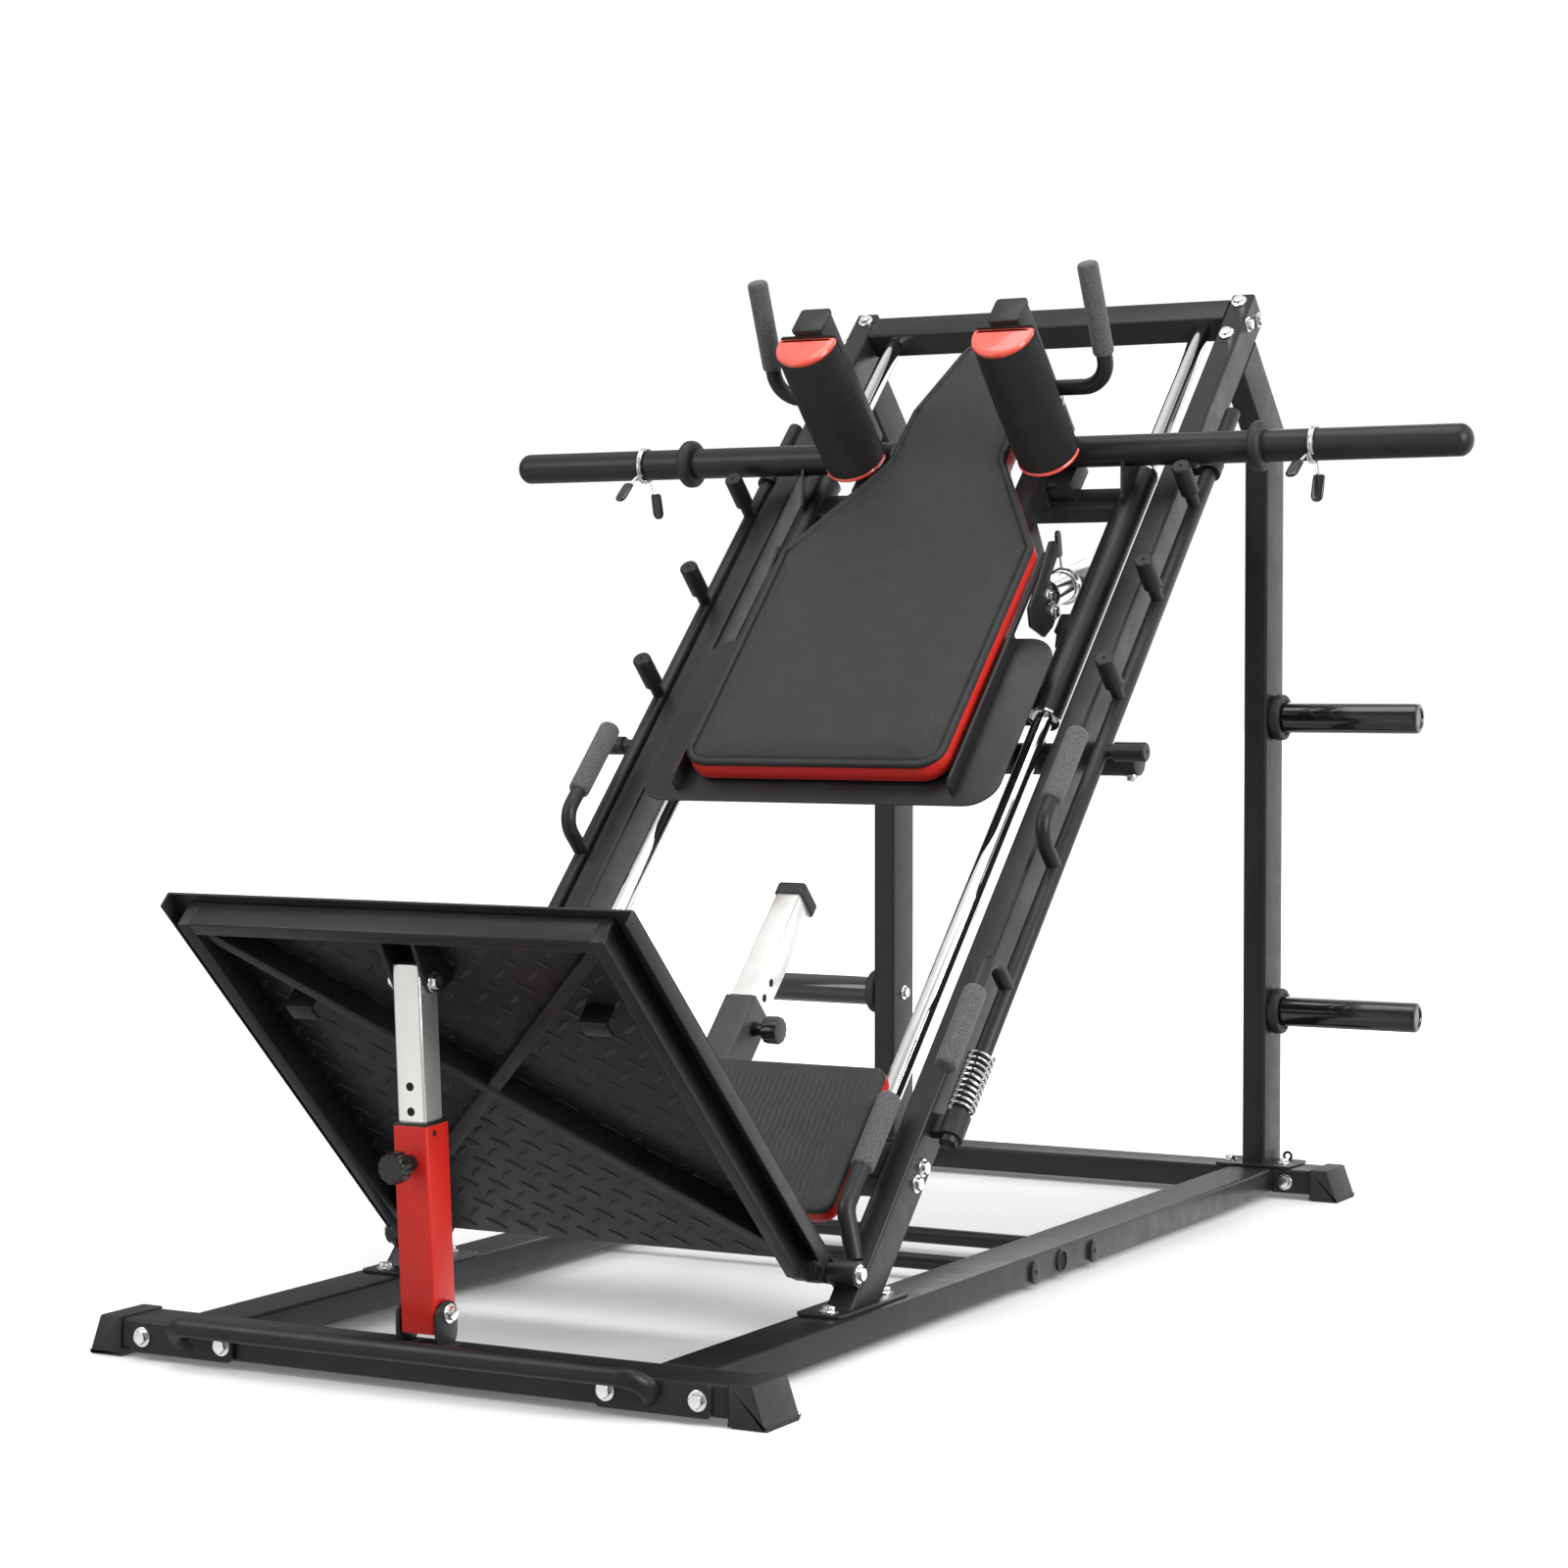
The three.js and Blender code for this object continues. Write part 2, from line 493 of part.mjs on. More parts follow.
place(incline, 'carriage_frame', carriageFrame(), BLACK);
place(incline, 'back_plate', backPlate(), BLACK);
place(incline, 'back_pad', backPad(), PAD);
placePair(incline, 'sleeve_bar', sleeveBar(), BLACK);
placePair(incline, 'shoulder_post', shoulderPost(), BLACK);
placePair(incline, 'shoulder_roll', shoulderRoll(), PAD);
place(incline, 'carriage_horn', horn(), CHROME);

// ---- spring clips -----------------------------------------------------------------------------------
// Handles hold [shift along the bar, swing about it in degrees]; at no swing a handle hangs along -Z.
function springClip(handles) {
  const coil = new THREE.TorusGeometry(28.5, 2.2, 5, 22);
  coil.rotateY(Math.PI / 2);
  const grips = handles.map(([x, swing]) => join(
    bar(2.2, [0, 0, -28], [x, 0, -52], { sides: 6 }),
    box([x - 10, x + 10], [-3, 3], [-92, -50])).rotateX(THREE.MathUtils.degToRad(swing)));
  return join(coil, ...grips);
}

const CLIP_HANDLES = { left: [[-12, -48], [12, 14]], right: [[-12, -56], [12, -16]] };
for (const [side, sign] of SIDES) {
  const clip = springClip(CLIP_HANDLES[side]);
  clip.rotateX(-INCLINE.angle);
  place(incline, `clip_${side}`, clip.translate(sign * SLEEVE.clip, SLEEVE.s, SLEEVE.n), ZINC);
}

const hornClip = springClip([[-8, 0]]);
hornClip.rotateX(Math.PI);
hornClip.rotateZ(Math.PI / 2);
hornClip.rotateX(Math.atan2(HORN.along[1], HORN.along[0]));
const [clipS, clipN] = HORN.base.map((start, i) => start + HORN.along[i] * HORN.clip);
place(incline, 'clip_horn', hornClip.translate(HORN.x, clipS, clipN), ZINC);

// ---- safety rods ------------------------------------------------------------------------------------
function lockRod() {
  const { x, n, radius, low, high } = LOCK;
  const rod = bar(radius, [x, low, n], [x, high, n]);
  const pegs = LOCK.pegs.flatMap((s) => [
    bar(10, [x, s, n], [x, s, n + 30], { sides: 10 }),
    bar(14, [x, s, n + 25], [x, s, LOCK.pegTop], { sides: 14 })]);
  const sidePeg = bar(SIDE_PEG.radius, [x, SIDE_PEG.s, n], [SIDE_PEG.tip, SIDE_PEG.s, n], { sides: 14 });
  const handles = [LOCK_HANDLES.upper, LOCK_HANDLES.lower].map(([root, tip]) => {
    const path = [[x, root, n], [x, root, LOCK_HANDLES.n], [x, tip, LOCK_HANDLES.n]];
    return bentBar(LOCK_HANDLES.radius, path, LOCK_HANDLES.bend);
  });
  return join(rod, ...pegs, sidePeg, ...handles);
}

// A foam sleeve, open where the handle enters it and closed beyond the handle's tip.
function lockGrip(open, closed) {
  const step = Math.sign(closed - open);
  const at = (s) => [LOCK.x, s, LOCK_HANDLES.n];
  const bore = bar(LOCK_HANDLES.radius + GAP, at(open - step), at(closed - 4 * step), { sides: 14 });
  return cut(bar(GRIP_RADIUS, at(open), at(closed)), bore);
}

function lockSpring() {
  const [turns, perTurn, coil] = [9, 8, 18];
  const [low, high] = [357, 455];
  const steps = turns * perTurn;
  const points = Array.from({ length: steps + 1 }, (_, i) => {
    const turn = (i / perTurn) * 2 * Math.PI;
    const s = low + (high - low) * (i / steps);
    return new THREE.Vector3(LOCK.x + coil * Math.cos(turn), s, LOCK.n + coil * Math.sin(turn));
  });
  const extrudePath = new THREE.CatmullRomCurve3(points);
  return new THREE.ExtrudeGeometry(ringShape(2, 0, 4), { extrudePath, steps, bevelEnabled: false });
}

placePair(incline, 'lock_rod', lockRod(), BLACK);
placePair(incline, 'lock_grip_upper', lockGrip(857, 995), FOAM);
placePair(incline, 'lock_grip_lower', lockGrip(507, 369), FOAM);
placePair(incline, 'lock_spring', lockSpring(), CHROME);

// The foam on the shoulder handles' upper ends.
function shoulderGrip() {
  const [, corner, tip] = HANDLE_PATH.map((point) => new THREE.Vector3(...point));
  const along = tip.clone().sub(corner).normalize();
  const end = tip.clone().addScaledVector(along, 5);
  const start = end.clone().addScaledVector(along, -SHOULDER_GRIP_LENGTH);
  const boreEnd = tip.clone().addScaledVector(along, GAP);
  const bore = bar(12.5 + 2 * GAP, corner.toArray(), boreEnd.toArray(), { sides: 12 });
  return cut(bar(GRIP_RADIUS, start.toArray(), end.toArray()), bore);
}
placePair(incline, 'shoulder_grip', shoulderGrip(), FOAM);

// ---- footplate (its own group turns about the hinge) -----------------------------------------------
function footplateSheet() {
  const sheet = box([-PLATE.half, PLATE.half], [-3, 0], [PLATE.low, PLATE.high]);
  const rims = [-1, 1].map((side) => box(
    spanOn(side, PLATE.half - 3, PLATE.half), [-PLATE.rim, -1], [40, PLATE.high]));
  return join(sheet, ...rims);
}

// Two side bars, a top bar and a cross between corners, with hinge bushes below and the post's ears above.
function footplateFrame() {
  const { inner, outer, bottom, bar: topBar } = PLATE_FRAME;
  const depth = [-3 - GAP - PLATE_FRAME.depth, -3 - GAP];
  const sides = [-1, 1].map((side) => box(spanOn(side, inner, outer), depth, [bottom, topBar[1]]));
  const top = box([-outer, outer], depth, topBar);
  const diagonals = [-1, 1].map((side) => diagonal(side, depth, 85, topBar[0] + 8));
  const armOutline = [[-16, 0], [0, 14], [-3.3, 24], [-3.3, 44], [-41, 44], [-30, 20]];
  const arms = [-1, 1].map((side) => extrudeX(armOutline, spanOn(side, inner, outer)));
  const bushes = [-1, 1].map((side) => bar(16, [side * inner, 0, 0], [side * (RAIL.inner - 1.5), 0, 0]));
  const bores = [-1, 1].map((side) => bar(7.6, [side * 280, 0, 0], [side * 330, 0, 0], { sides: 10 }));
  const pivot = postPivot();
  const earOutline = [[-3.3, 588], [-3.3, 694], [-30, 694], [-46, 650], [-50, 628], [-48, 612], [-36, 600]];
  const ears = [-1, 1].map((side) => extrudeX(earOutline, spanOn(side, 21.5, 27)));
  const bolt = bar(5, [-34, ...pivot], [32, ...pivot], { sides: 14 });
  const head = boltHead([26, ...pivot], [36, ...pivot]);
  return cut(join(...sides, top, ...diagonals, ...bushes, ...arms, ...ears, bolt, head), ...bores);
}

// One leg of the cross between two opposite corners of the frame.
function diagonal(side, [y0, y1], low, high) {
  const run = 2 * 300;
  const rise = high - low;
  const length = Math.hypot(run, rise);
  const leg = box([-length / 2, length / 2], [y0 + 8, y1], [-9, 9]);
  leg.rotateY(-side * Math.atan2(rise, run));
  return leg.translate(0, 0, (low + high) / 2);
}

// The post's upper pivot in the footplate's own frame.
function postPivot() {
  footplate.updateWorldMatrix(true, false);
  const local = footplate.worldToLocal(new THREE.Vector3(0, POST.topY - ORIGIN_Y, POST.topZ));
  return [local.y, local.z];
}

place(footplate, 'footplate_sheet', footplateSheet(), BLACK);
place(footplate, 'footplate_frame', footplateFrame(), BLACK);

// ---- telescopic support post -----------------------------------------------------------------------
function postOuter() {
  const tube = squareTube([[-25, 25], [-25, 25], [-23, 237]], 2);
  const pivotHole = bar(7.2, [-30, 0, 0], [30, 0, 0], { sides: 10 });
  const pinHole = bar(6, [0, -30, POST_HOLES.pin], [0, -20, POST_HOLES.pin], { sides: 10 });
  return cut(tube, pivotHole, pinHole);
}

// Its top hole is wider than the footplate's bolt, which leaves room for the arc of the footplate.
function postInner() {
  const tube = squareTube([[-20, 20], [-20, 20], [90, POST_LENGTH + 22]], 2, 2);
  const topHole = bar(11.5, [-24, 0, POST_LENGTH], [24, 0, POST_LENGTH], { sides: 14 });
  const places = HOLE_STEPS.map((k) => POST_HOLES.pin + k * POST_HOLES.pitch);
  return cut(tube, topHole, ...places.map((z) => bar(6.5, [0, -24, z], [0, -14, z], { sides: 10 })));
}

place(post, 'post_outer', postOuter(), RED);
place(post, 'post_inner', postInner(), SATIN);
const postKnob = pullKnob(25).rotateZ(-Math.PI / 2);
place(post, 'post_knob', postKnob.translate(0, 0, POST_HOLES.pin), RUBBER);

export default machine;
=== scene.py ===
"""Hack squat machine: the looks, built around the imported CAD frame. Local work is in millimetres."""
import math

import bmesh
import bpy
from mathutils import Matrix, Vector
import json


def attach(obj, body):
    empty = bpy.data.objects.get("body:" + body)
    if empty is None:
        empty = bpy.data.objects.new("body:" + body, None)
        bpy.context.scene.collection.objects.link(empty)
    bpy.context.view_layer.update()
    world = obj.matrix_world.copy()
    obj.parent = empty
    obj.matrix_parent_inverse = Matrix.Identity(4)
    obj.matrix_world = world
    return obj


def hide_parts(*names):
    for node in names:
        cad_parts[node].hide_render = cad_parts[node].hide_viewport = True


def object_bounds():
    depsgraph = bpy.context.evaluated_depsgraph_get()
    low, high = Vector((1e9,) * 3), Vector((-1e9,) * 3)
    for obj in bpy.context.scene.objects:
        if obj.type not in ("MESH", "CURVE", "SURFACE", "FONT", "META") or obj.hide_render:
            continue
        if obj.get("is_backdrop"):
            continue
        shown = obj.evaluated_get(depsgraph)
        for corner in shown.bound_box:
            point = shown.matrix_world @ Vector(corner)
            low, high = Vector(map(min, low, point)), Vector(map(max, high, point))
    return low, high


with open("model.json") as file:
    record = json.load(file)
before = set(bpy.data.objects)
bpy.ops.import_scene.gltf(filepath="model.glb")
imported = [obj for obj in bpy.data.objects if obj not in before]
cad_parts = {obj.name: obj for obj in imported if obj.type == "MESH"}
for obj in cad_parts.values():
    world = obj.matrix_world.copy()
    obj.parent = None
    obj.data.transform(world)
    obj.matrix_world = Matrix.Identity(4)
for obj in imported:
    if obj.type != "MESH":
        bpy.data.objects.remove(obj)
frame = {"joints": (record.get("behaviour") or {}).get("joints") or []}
cad_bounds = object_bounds()
JOINTS = {joint["name"]: joint for joint in frame["joints"]}

# ---- frames of reference -------------------------------------------------------------------------
MM = 0.001
PIVOT_S, PIVOT_N = 53.0, 17.0  # footplate hinge in the rails' own frame (s up the rails, n off their front)
pivot = Vector(JOINTS["footplate_tilt"]["pos_m"]) / MM
post_foot = Vector(JOINTS["post_tilt"]["pos_m"]) / MM
post_up = Vector(JOINTS["post_extend"]["axis"])
UP_RAIL = Vector(JOINTS["carriage_slide"]["axis"])
OFF_RAIL = Vector((1, 0, 0)).cross(UP_RAIL)
rail_origin = pivot - UP_RAIL * PIVOT_S - OFF_RAIL * PIVOT_N
ORIGIN_Y = 464.4 - rail_origin.y  # the CAD measures y from the front crossbar

FLOOR = Matrix.Scale(MM, 4) @ Matrix.Translation((0, -ORIGIN_Y, 0))
INCLINE = Matrix.Scale(MM, 4) @ Matrix.Translation(rail_origin) @ Matrix.Rotation(math.pi / 4, 4, "X")
PLATE = INCLINE @ Matrix.Translation((0, PIVOT_S, PIVOT_N)) @ Matrix.Rotation(math.asin(0.019), 4, "X")
POST = Matrix.Scale(MM, 4) @ Matrix.Translation(post_foot) @ Matrix.Rotation(math.asin(-post_up.y), 4, "X")
INCLINE_Y, INCLINE_Z = rail_origin.y + ORIGIN_Y, rail_origin.z

# ---- sizes shared by several pieces --------------------------------------------------------------
RAIL_IN, RAIL_OUT, RAIL_DEPTH, RAIL_TOP = 326.0, 366.0, 60.0, 2048.0
LOCK_X, LOCK_N = 395.0, -24.0
GUIDE_X, GUIDE_N = 283.0, -25.0
SLEEVE_S, SLEEVE_N = 1615.0, 48.0
HORN_X, HORN_BASE, HORN_ALONG = 150.0, Vector((1446.0, -102.5)), Vector((0.842, -0.54))
HORN_LENGTH, HORN_CLIP = 185.0, 75.0
FRONT_BAR, REAR_BAR = (2.0, 82.0), (1966.0, 2050.0)
BAR_Z = (10.0, 50.0)
BASE_X = (306.0, 386.0)
CROSSBAR_HALF = 446.0
CROSS_TUBE_Y = (995.0, 1205.0)
CORNER = 5.0  # outside corner radius of the square tubes
WIRE_RADIUS = 2.1
SIDES = (("left", -1), ("right", 1))

# ---- where pieces are drawn, and the body they ride on -------------------------------------------
ON_FLOOR = (FLOOR, "frame")
ON_RAILS = (INCLINE, "frame")
CARRIAGE = (INCLINE, "carriage")
SAFETY = (INCLINE, "safety_{}")
STOP_UPPER = (INCLINE, "stop_upper")
STOP_KNOB = (INCLINE, "stop_pin")
FOOTPLATE = (PLATE, "footplate")
POST_LOWER = (POST, "post_lower")
POST_UPPER = (POST, "post_upper")
POST_KNOB = (POST, "post_pin")


# ---- outlines ------------------------------------------------------------------------------------
def rounded(points, radius, steps=5):
    """An outline with its corners turned into arcs; a corner may carry its own radius as a third value."""
    result = []
    count = len(points)
    for i, point in enumerate(points):
        here = Vector(point[:2])
        size = point[2] if len(point) > 2 else radius
        before = Vector(points[i - 1][:2]) - here
        after = Vector(points[(i + 1) % count][:2]) - here
        room = min(before.length, after.length) * 0.49
        before.normalize()
        after.normalize()
        half = before.angle(after) / 2
        reach = min(size / math.tan(half), room)
        if size <= 0 or reach < 1e-3:
            result.append(here)
            continue
        size = reach * math.tan(half)
        centre = here + (before + after).normalized() * (size / math.sin(half))
        start = here + before * reach - centre
        turn = start.angle_signed(here + after * reach - centre)
        for k in range(steps + 1):
            spin = Matrix.Rotation(-turn * k / steps, 2)
            result.append(centre + spin @ start)
    return result


def rectangle(a, b, radius=CORNER, steps=4):
    return rounded([(a[0], b[0]), (a[1], b[0]), (a[1], b[1]), (a[0], b[1])], radius, steps)


def signed_area(outline):
    return sum(p.x * q.y - q.x * p.y for p, q in zip(outline, outline[1:] + outline[:1])) / 2


def inset(outline, distance):
    """The outline moved inwards by a distance, corner by corner."""
    if not distance:
        return list(outline)
    sign = 1 if signed_area(outline) > 0 else -1
    result = []
    for i, here in enumerate(outline):
        a = here - outline[i - 1]
        b = outline[(i + 1) % len(outline)] - here
        a.normalize()
        b.normalize()
        normal = Vector((-(a.y + b.y), a.x + b.x)) * sign
        normal.normalize()
        lean = max(0.35, abs(Vector((-a.y, a.x)).dot(normal)))
        result.append(here + normal * (distance / lean))
    return result


# ---- surfaces ------------------------------------------------------------------------------------
PLANES = {
    "x": lambda a, b, h: Vector((h, a, b)),
    "y": lambda a, b, h: Vector((b, h, a)),
    "z": lambda a, b, h: Vector((a, b, h)),
}


def add_rings(bm, rings, close_ends=True, loop=False):
    """Joins rings of points, all of one length, into a skin."""
    rows = [[bm.verts.new(p) for p in ring] for ring in rings]
    pairs = list(zip(rows, rows[1:]))
    if loop:
        pairs.append((rows[-1], rows[0]))
    count = len(rows[0])
    for low, high in pairs:
        for i in range(count):
            j = (i + 1) % count
            bm.faces.new((low[i], low[j], high[j], high[i]))
    if close_ends and not loop:
        bm.faces.new(rows[0][::-1])
        bm.faces.new(rows[-1])


def shell(bm, levels, count, point):
    """A skin of rings: point(level, angle) gives each of its points."""
    add_rings(bm, [[point(level, angle) for angle in around(count)] for level in levels])


def prism(bm, outline, axis, low, high, edge=1.0, bulge=0.0):
    """Pushes an outline along an axis and rounds its end edges. Each end may be a function of the point."""
    low_at = low if callable(low) else (lambda p: low)
    high_at = high if callable(high) else (lambda p: high)
    place = PLANES[axis]
    profile = [(1.0, 0.0), (0.3, 0.3), (0.0, 1.0)]

    def ring(shrink, height):
        return [place(q.x, q.y, height(p)) for p, q in zip(outline, inset(outline, shrink))]

    rings = [ring(size * edge, lambda p: low_at(p) + rise * edge) for size, rise in profile]
    if bulge:
        for share in (0.2, 0.4, 0.6, 0.8):
            out = bulge * math.sin(math.pi * share)
            rest = 1 - share
            rings.append(ring(-out, lambda p: rest * (low_at(p) + edge) + share * (high_at(p) - edge)))
    rings += [ring(size * edge, lambda p: high_at(p) - rise * edge) for size, rise in reversed(profile)]
    add_rings(bm, rings)


def on_side(side, near, far):
    """A span across the machine, on the left (-1) or the right (1)."""
    return sorted((side * near, side * far))


def block(bm, xs, ys, zs, radius=1.5, edge=1.0):
    prism(bm, rectangle(xs, ys, radius, 3), "z", zs[0], zs[1], edge)


def around(count):
    """Evenly spaced angles for one full turn."""
    return [2 * math.pi * i / count for i in range(count)]


def tangents_of(points):
    """The directions of an open path."""
    last = len(points) - 1
    return [(points[min(i + 1, last)] - points[max(i - 1, 0)]).normalized() for i in range(last + 1)]


def frames_along(points, tangents):
    """A steady pair of side directions for each point of a path."""
    side = tangents[0].orthogonal().normalized()
    result = []
    previous = tangents[0]
    for tangent in tangents:
        side = previous.rotation_difference(tangent) @ side
        side = (side - tangent * side.dot(tangent)).normalized()
        result.append((side, tangent.cross(side)))
        previous = tangent
    return result


def sweep(bm, points, tangents, radii, sides=28, loop=False):
    rings = []
    for point, (u, v), radius in zip(points, frames_along(points, tangents), radii):
        rings.append([point + (u * math.cos(t) + v * math.sin(t)) * radius for t in around(sides)])
    add_rings(bm, rings, loop=loop)


def bar(bm, start, end, radius, sides=40, edge=1.0):
    """A straight round bar with softened ends."""
    rim = [(0.0, radius - edge), (0.3 * edge, radius - 0.3 * edge), (edge, radius)]
    turned(bm, start, end, rim, sides, mirror=True)


def turned(bm, start, end, profile, sides=40, mirror=False):
    """A turned piece: profile holds (distance from start, radius); mirror repeats it from the far end."""
    start = Vector(start)
    along = Vector(end) - start
    length = along.length
    along.normalize()
    full = list(profile)
    if mirror:
        full += [(length - h, r) for h, r in reversed(profile)]
    points = [start + along * h for h, _ in full]
    sweep(bm, points, [along] * len(full), [r for _, r in full], sides)


def coil(bm, start, end, first, radius, turns, per_turn, hand=1):
    """A wire wound round an axis from the side called first; hand is -1 for a left-hand coil."""
    start, end = Vector(start), Vector(end)
    second = (end - start).normalized().cross(first) * hand
    points = []
    for i in range(turns * per_turn + 1):
        angle = 2 * math.pi * i / per_turn
        out = first * math.cos(angle) + second * math.sin(angle)
        points.append(start.lerp(end, i / (turns * per_turn)) + out * radius)
    sweep(bm, points, tangents_of(points), [WIRE_RADIUS] * len(points), 10)


def bent_path(corners, bend, steps=10):
    corners = [Vector(c) for c in corners]
    points = [corners[0]]
    tangents = [(corners[1] - corners[0]).normalized()]
    for i in range(1, len(corners) - 1):
        arrive = (corners[i] - corners[i - 1]).normalized()
        leave = (corners[i + 1] - corners[i]).normalized()
        turn = arrive.angle(leave)
        centre = corners[i] + (leave - arrive).normalized() * (bend / math.cos(turn / 2))
        start = corners[i] - arrive * (bend * math.tan(turn / 2)) - centre
        axis = arrive.cross(leave)
        for k in range(steps + 1):
            spin = Matrix.Rotation(turn * k / steps, 3, axis)
            points.append(centre + spin @ start)
            tangents.append(spin @ arrive)
    points.append(corners[-1])
    tangents.append((corners[-1] - corners[-2]).normalized())
    return points, tangents


def bent_bar(bm, corners, bend, radius, sides=28):
    points, tangents = bent_path(corners, bend)
    sweep(bm, points, tangents, [radius] * len(points), sides)


def resample(outline, step):
    """Points at even steps round a closed outline."""
    loop = list(outline) + [outline[0]]
    lengths = [(q - p).length for p, q in zip(loop, loop[1:])]
    total = sum(lengths)
    count = max(8, round(total / step))
    result = []
    i, passed = 0, 0.0
    for k in range(count):
        target = total * k / count
        while passed + lengths[i] < target:
            passed += lengths[i]
            i += 1
        share = (target - passed) / lengths[i] if lengths[i] else 0.0
        result.append(loop[i].lerp(loop[i + 1], share))
    return result


# ---- pieces --------------------------------------------------------------------------------------
def piece(name, home, finish, build, node=None, mirror=False, angle=35):
    """Builds one closed piece in a local frame and seats it on its body. home is (local frame, body)."""
    space, body = home
    bm = bmesh.new()
    build(bm)
    if mirror:
        bmesh.ops.scale(bm, vec=(-1, 1, 1), verts=bm.verts)
    bm.transform(space)
    bmesh.ops.recalc_face_normals(bm, faces=bm.faces)
    mesh = bpy.data.meshes.new(name)
    bm.to_mesh(mesh)
    bm.free()
    mesh.shade_smooth()
    mesh.set_sharp_from_angle(angle=math.radians(angle))
    return seat(bpy.data.objects.new(name, mesh), body, finish, node)


def seat(obj, body, finish, node=None):
    """Gives a piece the material of its finish (slot, material) and its body; hides the CAD node it stands
    for.
    """
    slot, material = finish
    if obj.name not in bpy.context.scene.collection.objects:
        bpy.context.scene.collection.objects.link(obj)
    obj.data.materials.clear()
    obj.data.materials.append(material)
    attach(obj, body)
    if node:
        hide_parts(node)
    return obj


def pair(name, home, finish, build, node=""):
    """A left and a right piece. The body and the node may hold {} for the side."""
    space, body = home
    for side, sign in SIDES:
        home = (space, body.format(side))
        piece(f"{name}_{side}", home, finish, build, node.format(side), mirror=sign < 0)


def hex_bolt(bm, seat_point, out, radius=9.5):
    """A washer and a domed hexagon head standing on a face at seat_point, pointing out."""
    base = Vector(seat_point)
    out = Vector(out).normalized()
    washer = [(0.0, radius + 2.6), (0.4, radius + 3.2), (2.0, radius + 3.2), (2.3, radius + 2.8)]
    turned(bm, base - out * 0.4, base + out * 1.9, washer, 32)
    u = out.orthogonal().normalized()
    v = out.cross(u)

    def point(level, turn):
        height, size = level
        flat = math.cos(math.pi / 6) / math.cos((turn % (math.pi / 3)) - math.pi / 6)
        reach = radius * (flat if size == 1.0 else size)
        return base + out * height + (u * math.cos(turn) + v * math.sin(turn)) * reach

    shell(bm, ((1.6, 1.0), (6.6, 1.0), (7.9, 0.86), (8.3, 0.6)), 24, point)


# ---- materials -----------------------------------------------------------------------------------
class Nodes:
    """A short way to lay out nodes."""

    def __init__(self, tree):
        self.tree = tree

    def add(self, kind, **settings):
        node = self.tree.nodes.new(kind)
        for key, value in settings.items():
            if hasattr(node, key):
                setattr(node, key, value)
            else:
                node.inputs[key.replace("_", " ")].default_value = value
        return node

    def link(self, source, target):
        self.tree.links.new(source, target)

    def noise(self, scale, detail=3.0, rough=0.55):
        node = self.add("ShaderNodeTexNoise", Scale=scale, Detail=detail, Roughness=rough)
        self.link(self.coords, node.inputs["Vector"])
        return node.outputs["Fac"]

    def ramp(self, source, low, high, a=0.0, b=1.0):
        """Maps a value from low..high to a..b."""
        node = self.add("ShaderNodeMapRange", From_Min=low, From_Max=high, To_Min=a, To_Max=b)
        self.link(source, node.inputs["Value"])
        return node.outputs["Result"]

    def mix(self, factor, a, b):
        node = self.add("ShaderNodeMix", data_type="RGBA")
        self.link(factor, node.inputs["Factor"])
        for key, value in (("A", a), ("B", b)):
            socket = [s for s in node.inputs if s.name == key and s.type == "RGBA"][0]
            if isinstance(value, tuple):
                socket.default_value = (*value, 1.0)
            else:
                self.link(value, socket)
        return [s for s in node.outputs if s.type == "RGBA"][0]

    def maths(self, operation, a, b=0.0):
        node = self.add("ShaderNodeMath", operation=operation)
        for socket, value in zip(node.inputs, (a, b)):
            if isinstance(value, (int, float)):
                socket.default_value = value
            else:
                self.link(value, socket)
        return node.outputs[0]

    def bump(self, height, distance, strength=1.0):
        node = self.add("ShaderNodeBump", Distance=distance, Strength=strength)
        self.link(height, node.inputs["Height"])
        return node.outputs["Normal"]

    def edges(self, radius):
        """A mask that rises on edges and small corners."""
        bevel = self.add("ShaderNodeBevel", samples=4, Radius=radius)
        geometry = self.add("ShaderNodeNewGeometry")
        dot = self.add("ShaderNodeVectorMath", operation="DOT_PRODUCT")
        self.link(bevel.outputs["Normal"], dot.inputs[0])
        self.link(geometry.outputs["Normal"], dot.inputs[1])
        return self.ramp(dot.outputs["Value"], 0.985, 0.86)


class Coat(Nodes):
    """A material whose nodes start from the place on the object."""

    def __init__(self, name):
        self.material = bpy.data.materials.new(name)
        self.material.use_nodes = True
        super().__init__(self.material.node_tree)
        self.shader = self.tree.nodes["Principled BSDF"]
        self.coords = self.add("ShaderNodeTexCoord").outputs["Object"]

    def finish(self, **values):
        for key, value in values.items():
            socket = self.shader.inputs[key.replace("_", " ")]
            if hasattr(value, "is_linked"):
                self.link(value, socket)
            else:
                socket.default_value = (*value, 1.0) if isinstance(value, tuple) else value
        return self.material


def powder_coat(name, dark, light, roughness=0.42, grain=1400, depth=0.00004, edge=0.5, shine=0.3):
    """Sprayed coat: fine orange peel, slight mottling, and edges painted lighter as a highlight."""
    n = Coat(name)
    mottle = n.noise(9.0, 4.0)
    base = n.mix(n.ramp(mottle, 0.35, 0.65), dark, light)
    # Painted highlight: edges and small corners are mixed towards a much lighter colour, as if they caught
    # the light.
    edge_highlight = tuple(min(1.0, c * 4.0 + 0.05) for c in light)
    colour = n.mix(n.maths("MULTIPLY", n.edges(0.0016), edge), base, edge_highlight)
    peel = n.noise(grain, 2.0)
    rough = n.ramp(n.noise(26.0, 3.0), 0.3, 0.7, roughness - 0.05, roughness + 0.07)
    return n.finish(Base_Color=colour, Roughness=rough, Normal=n.bump(peel, depth), Specular_IOR_Level=shine)


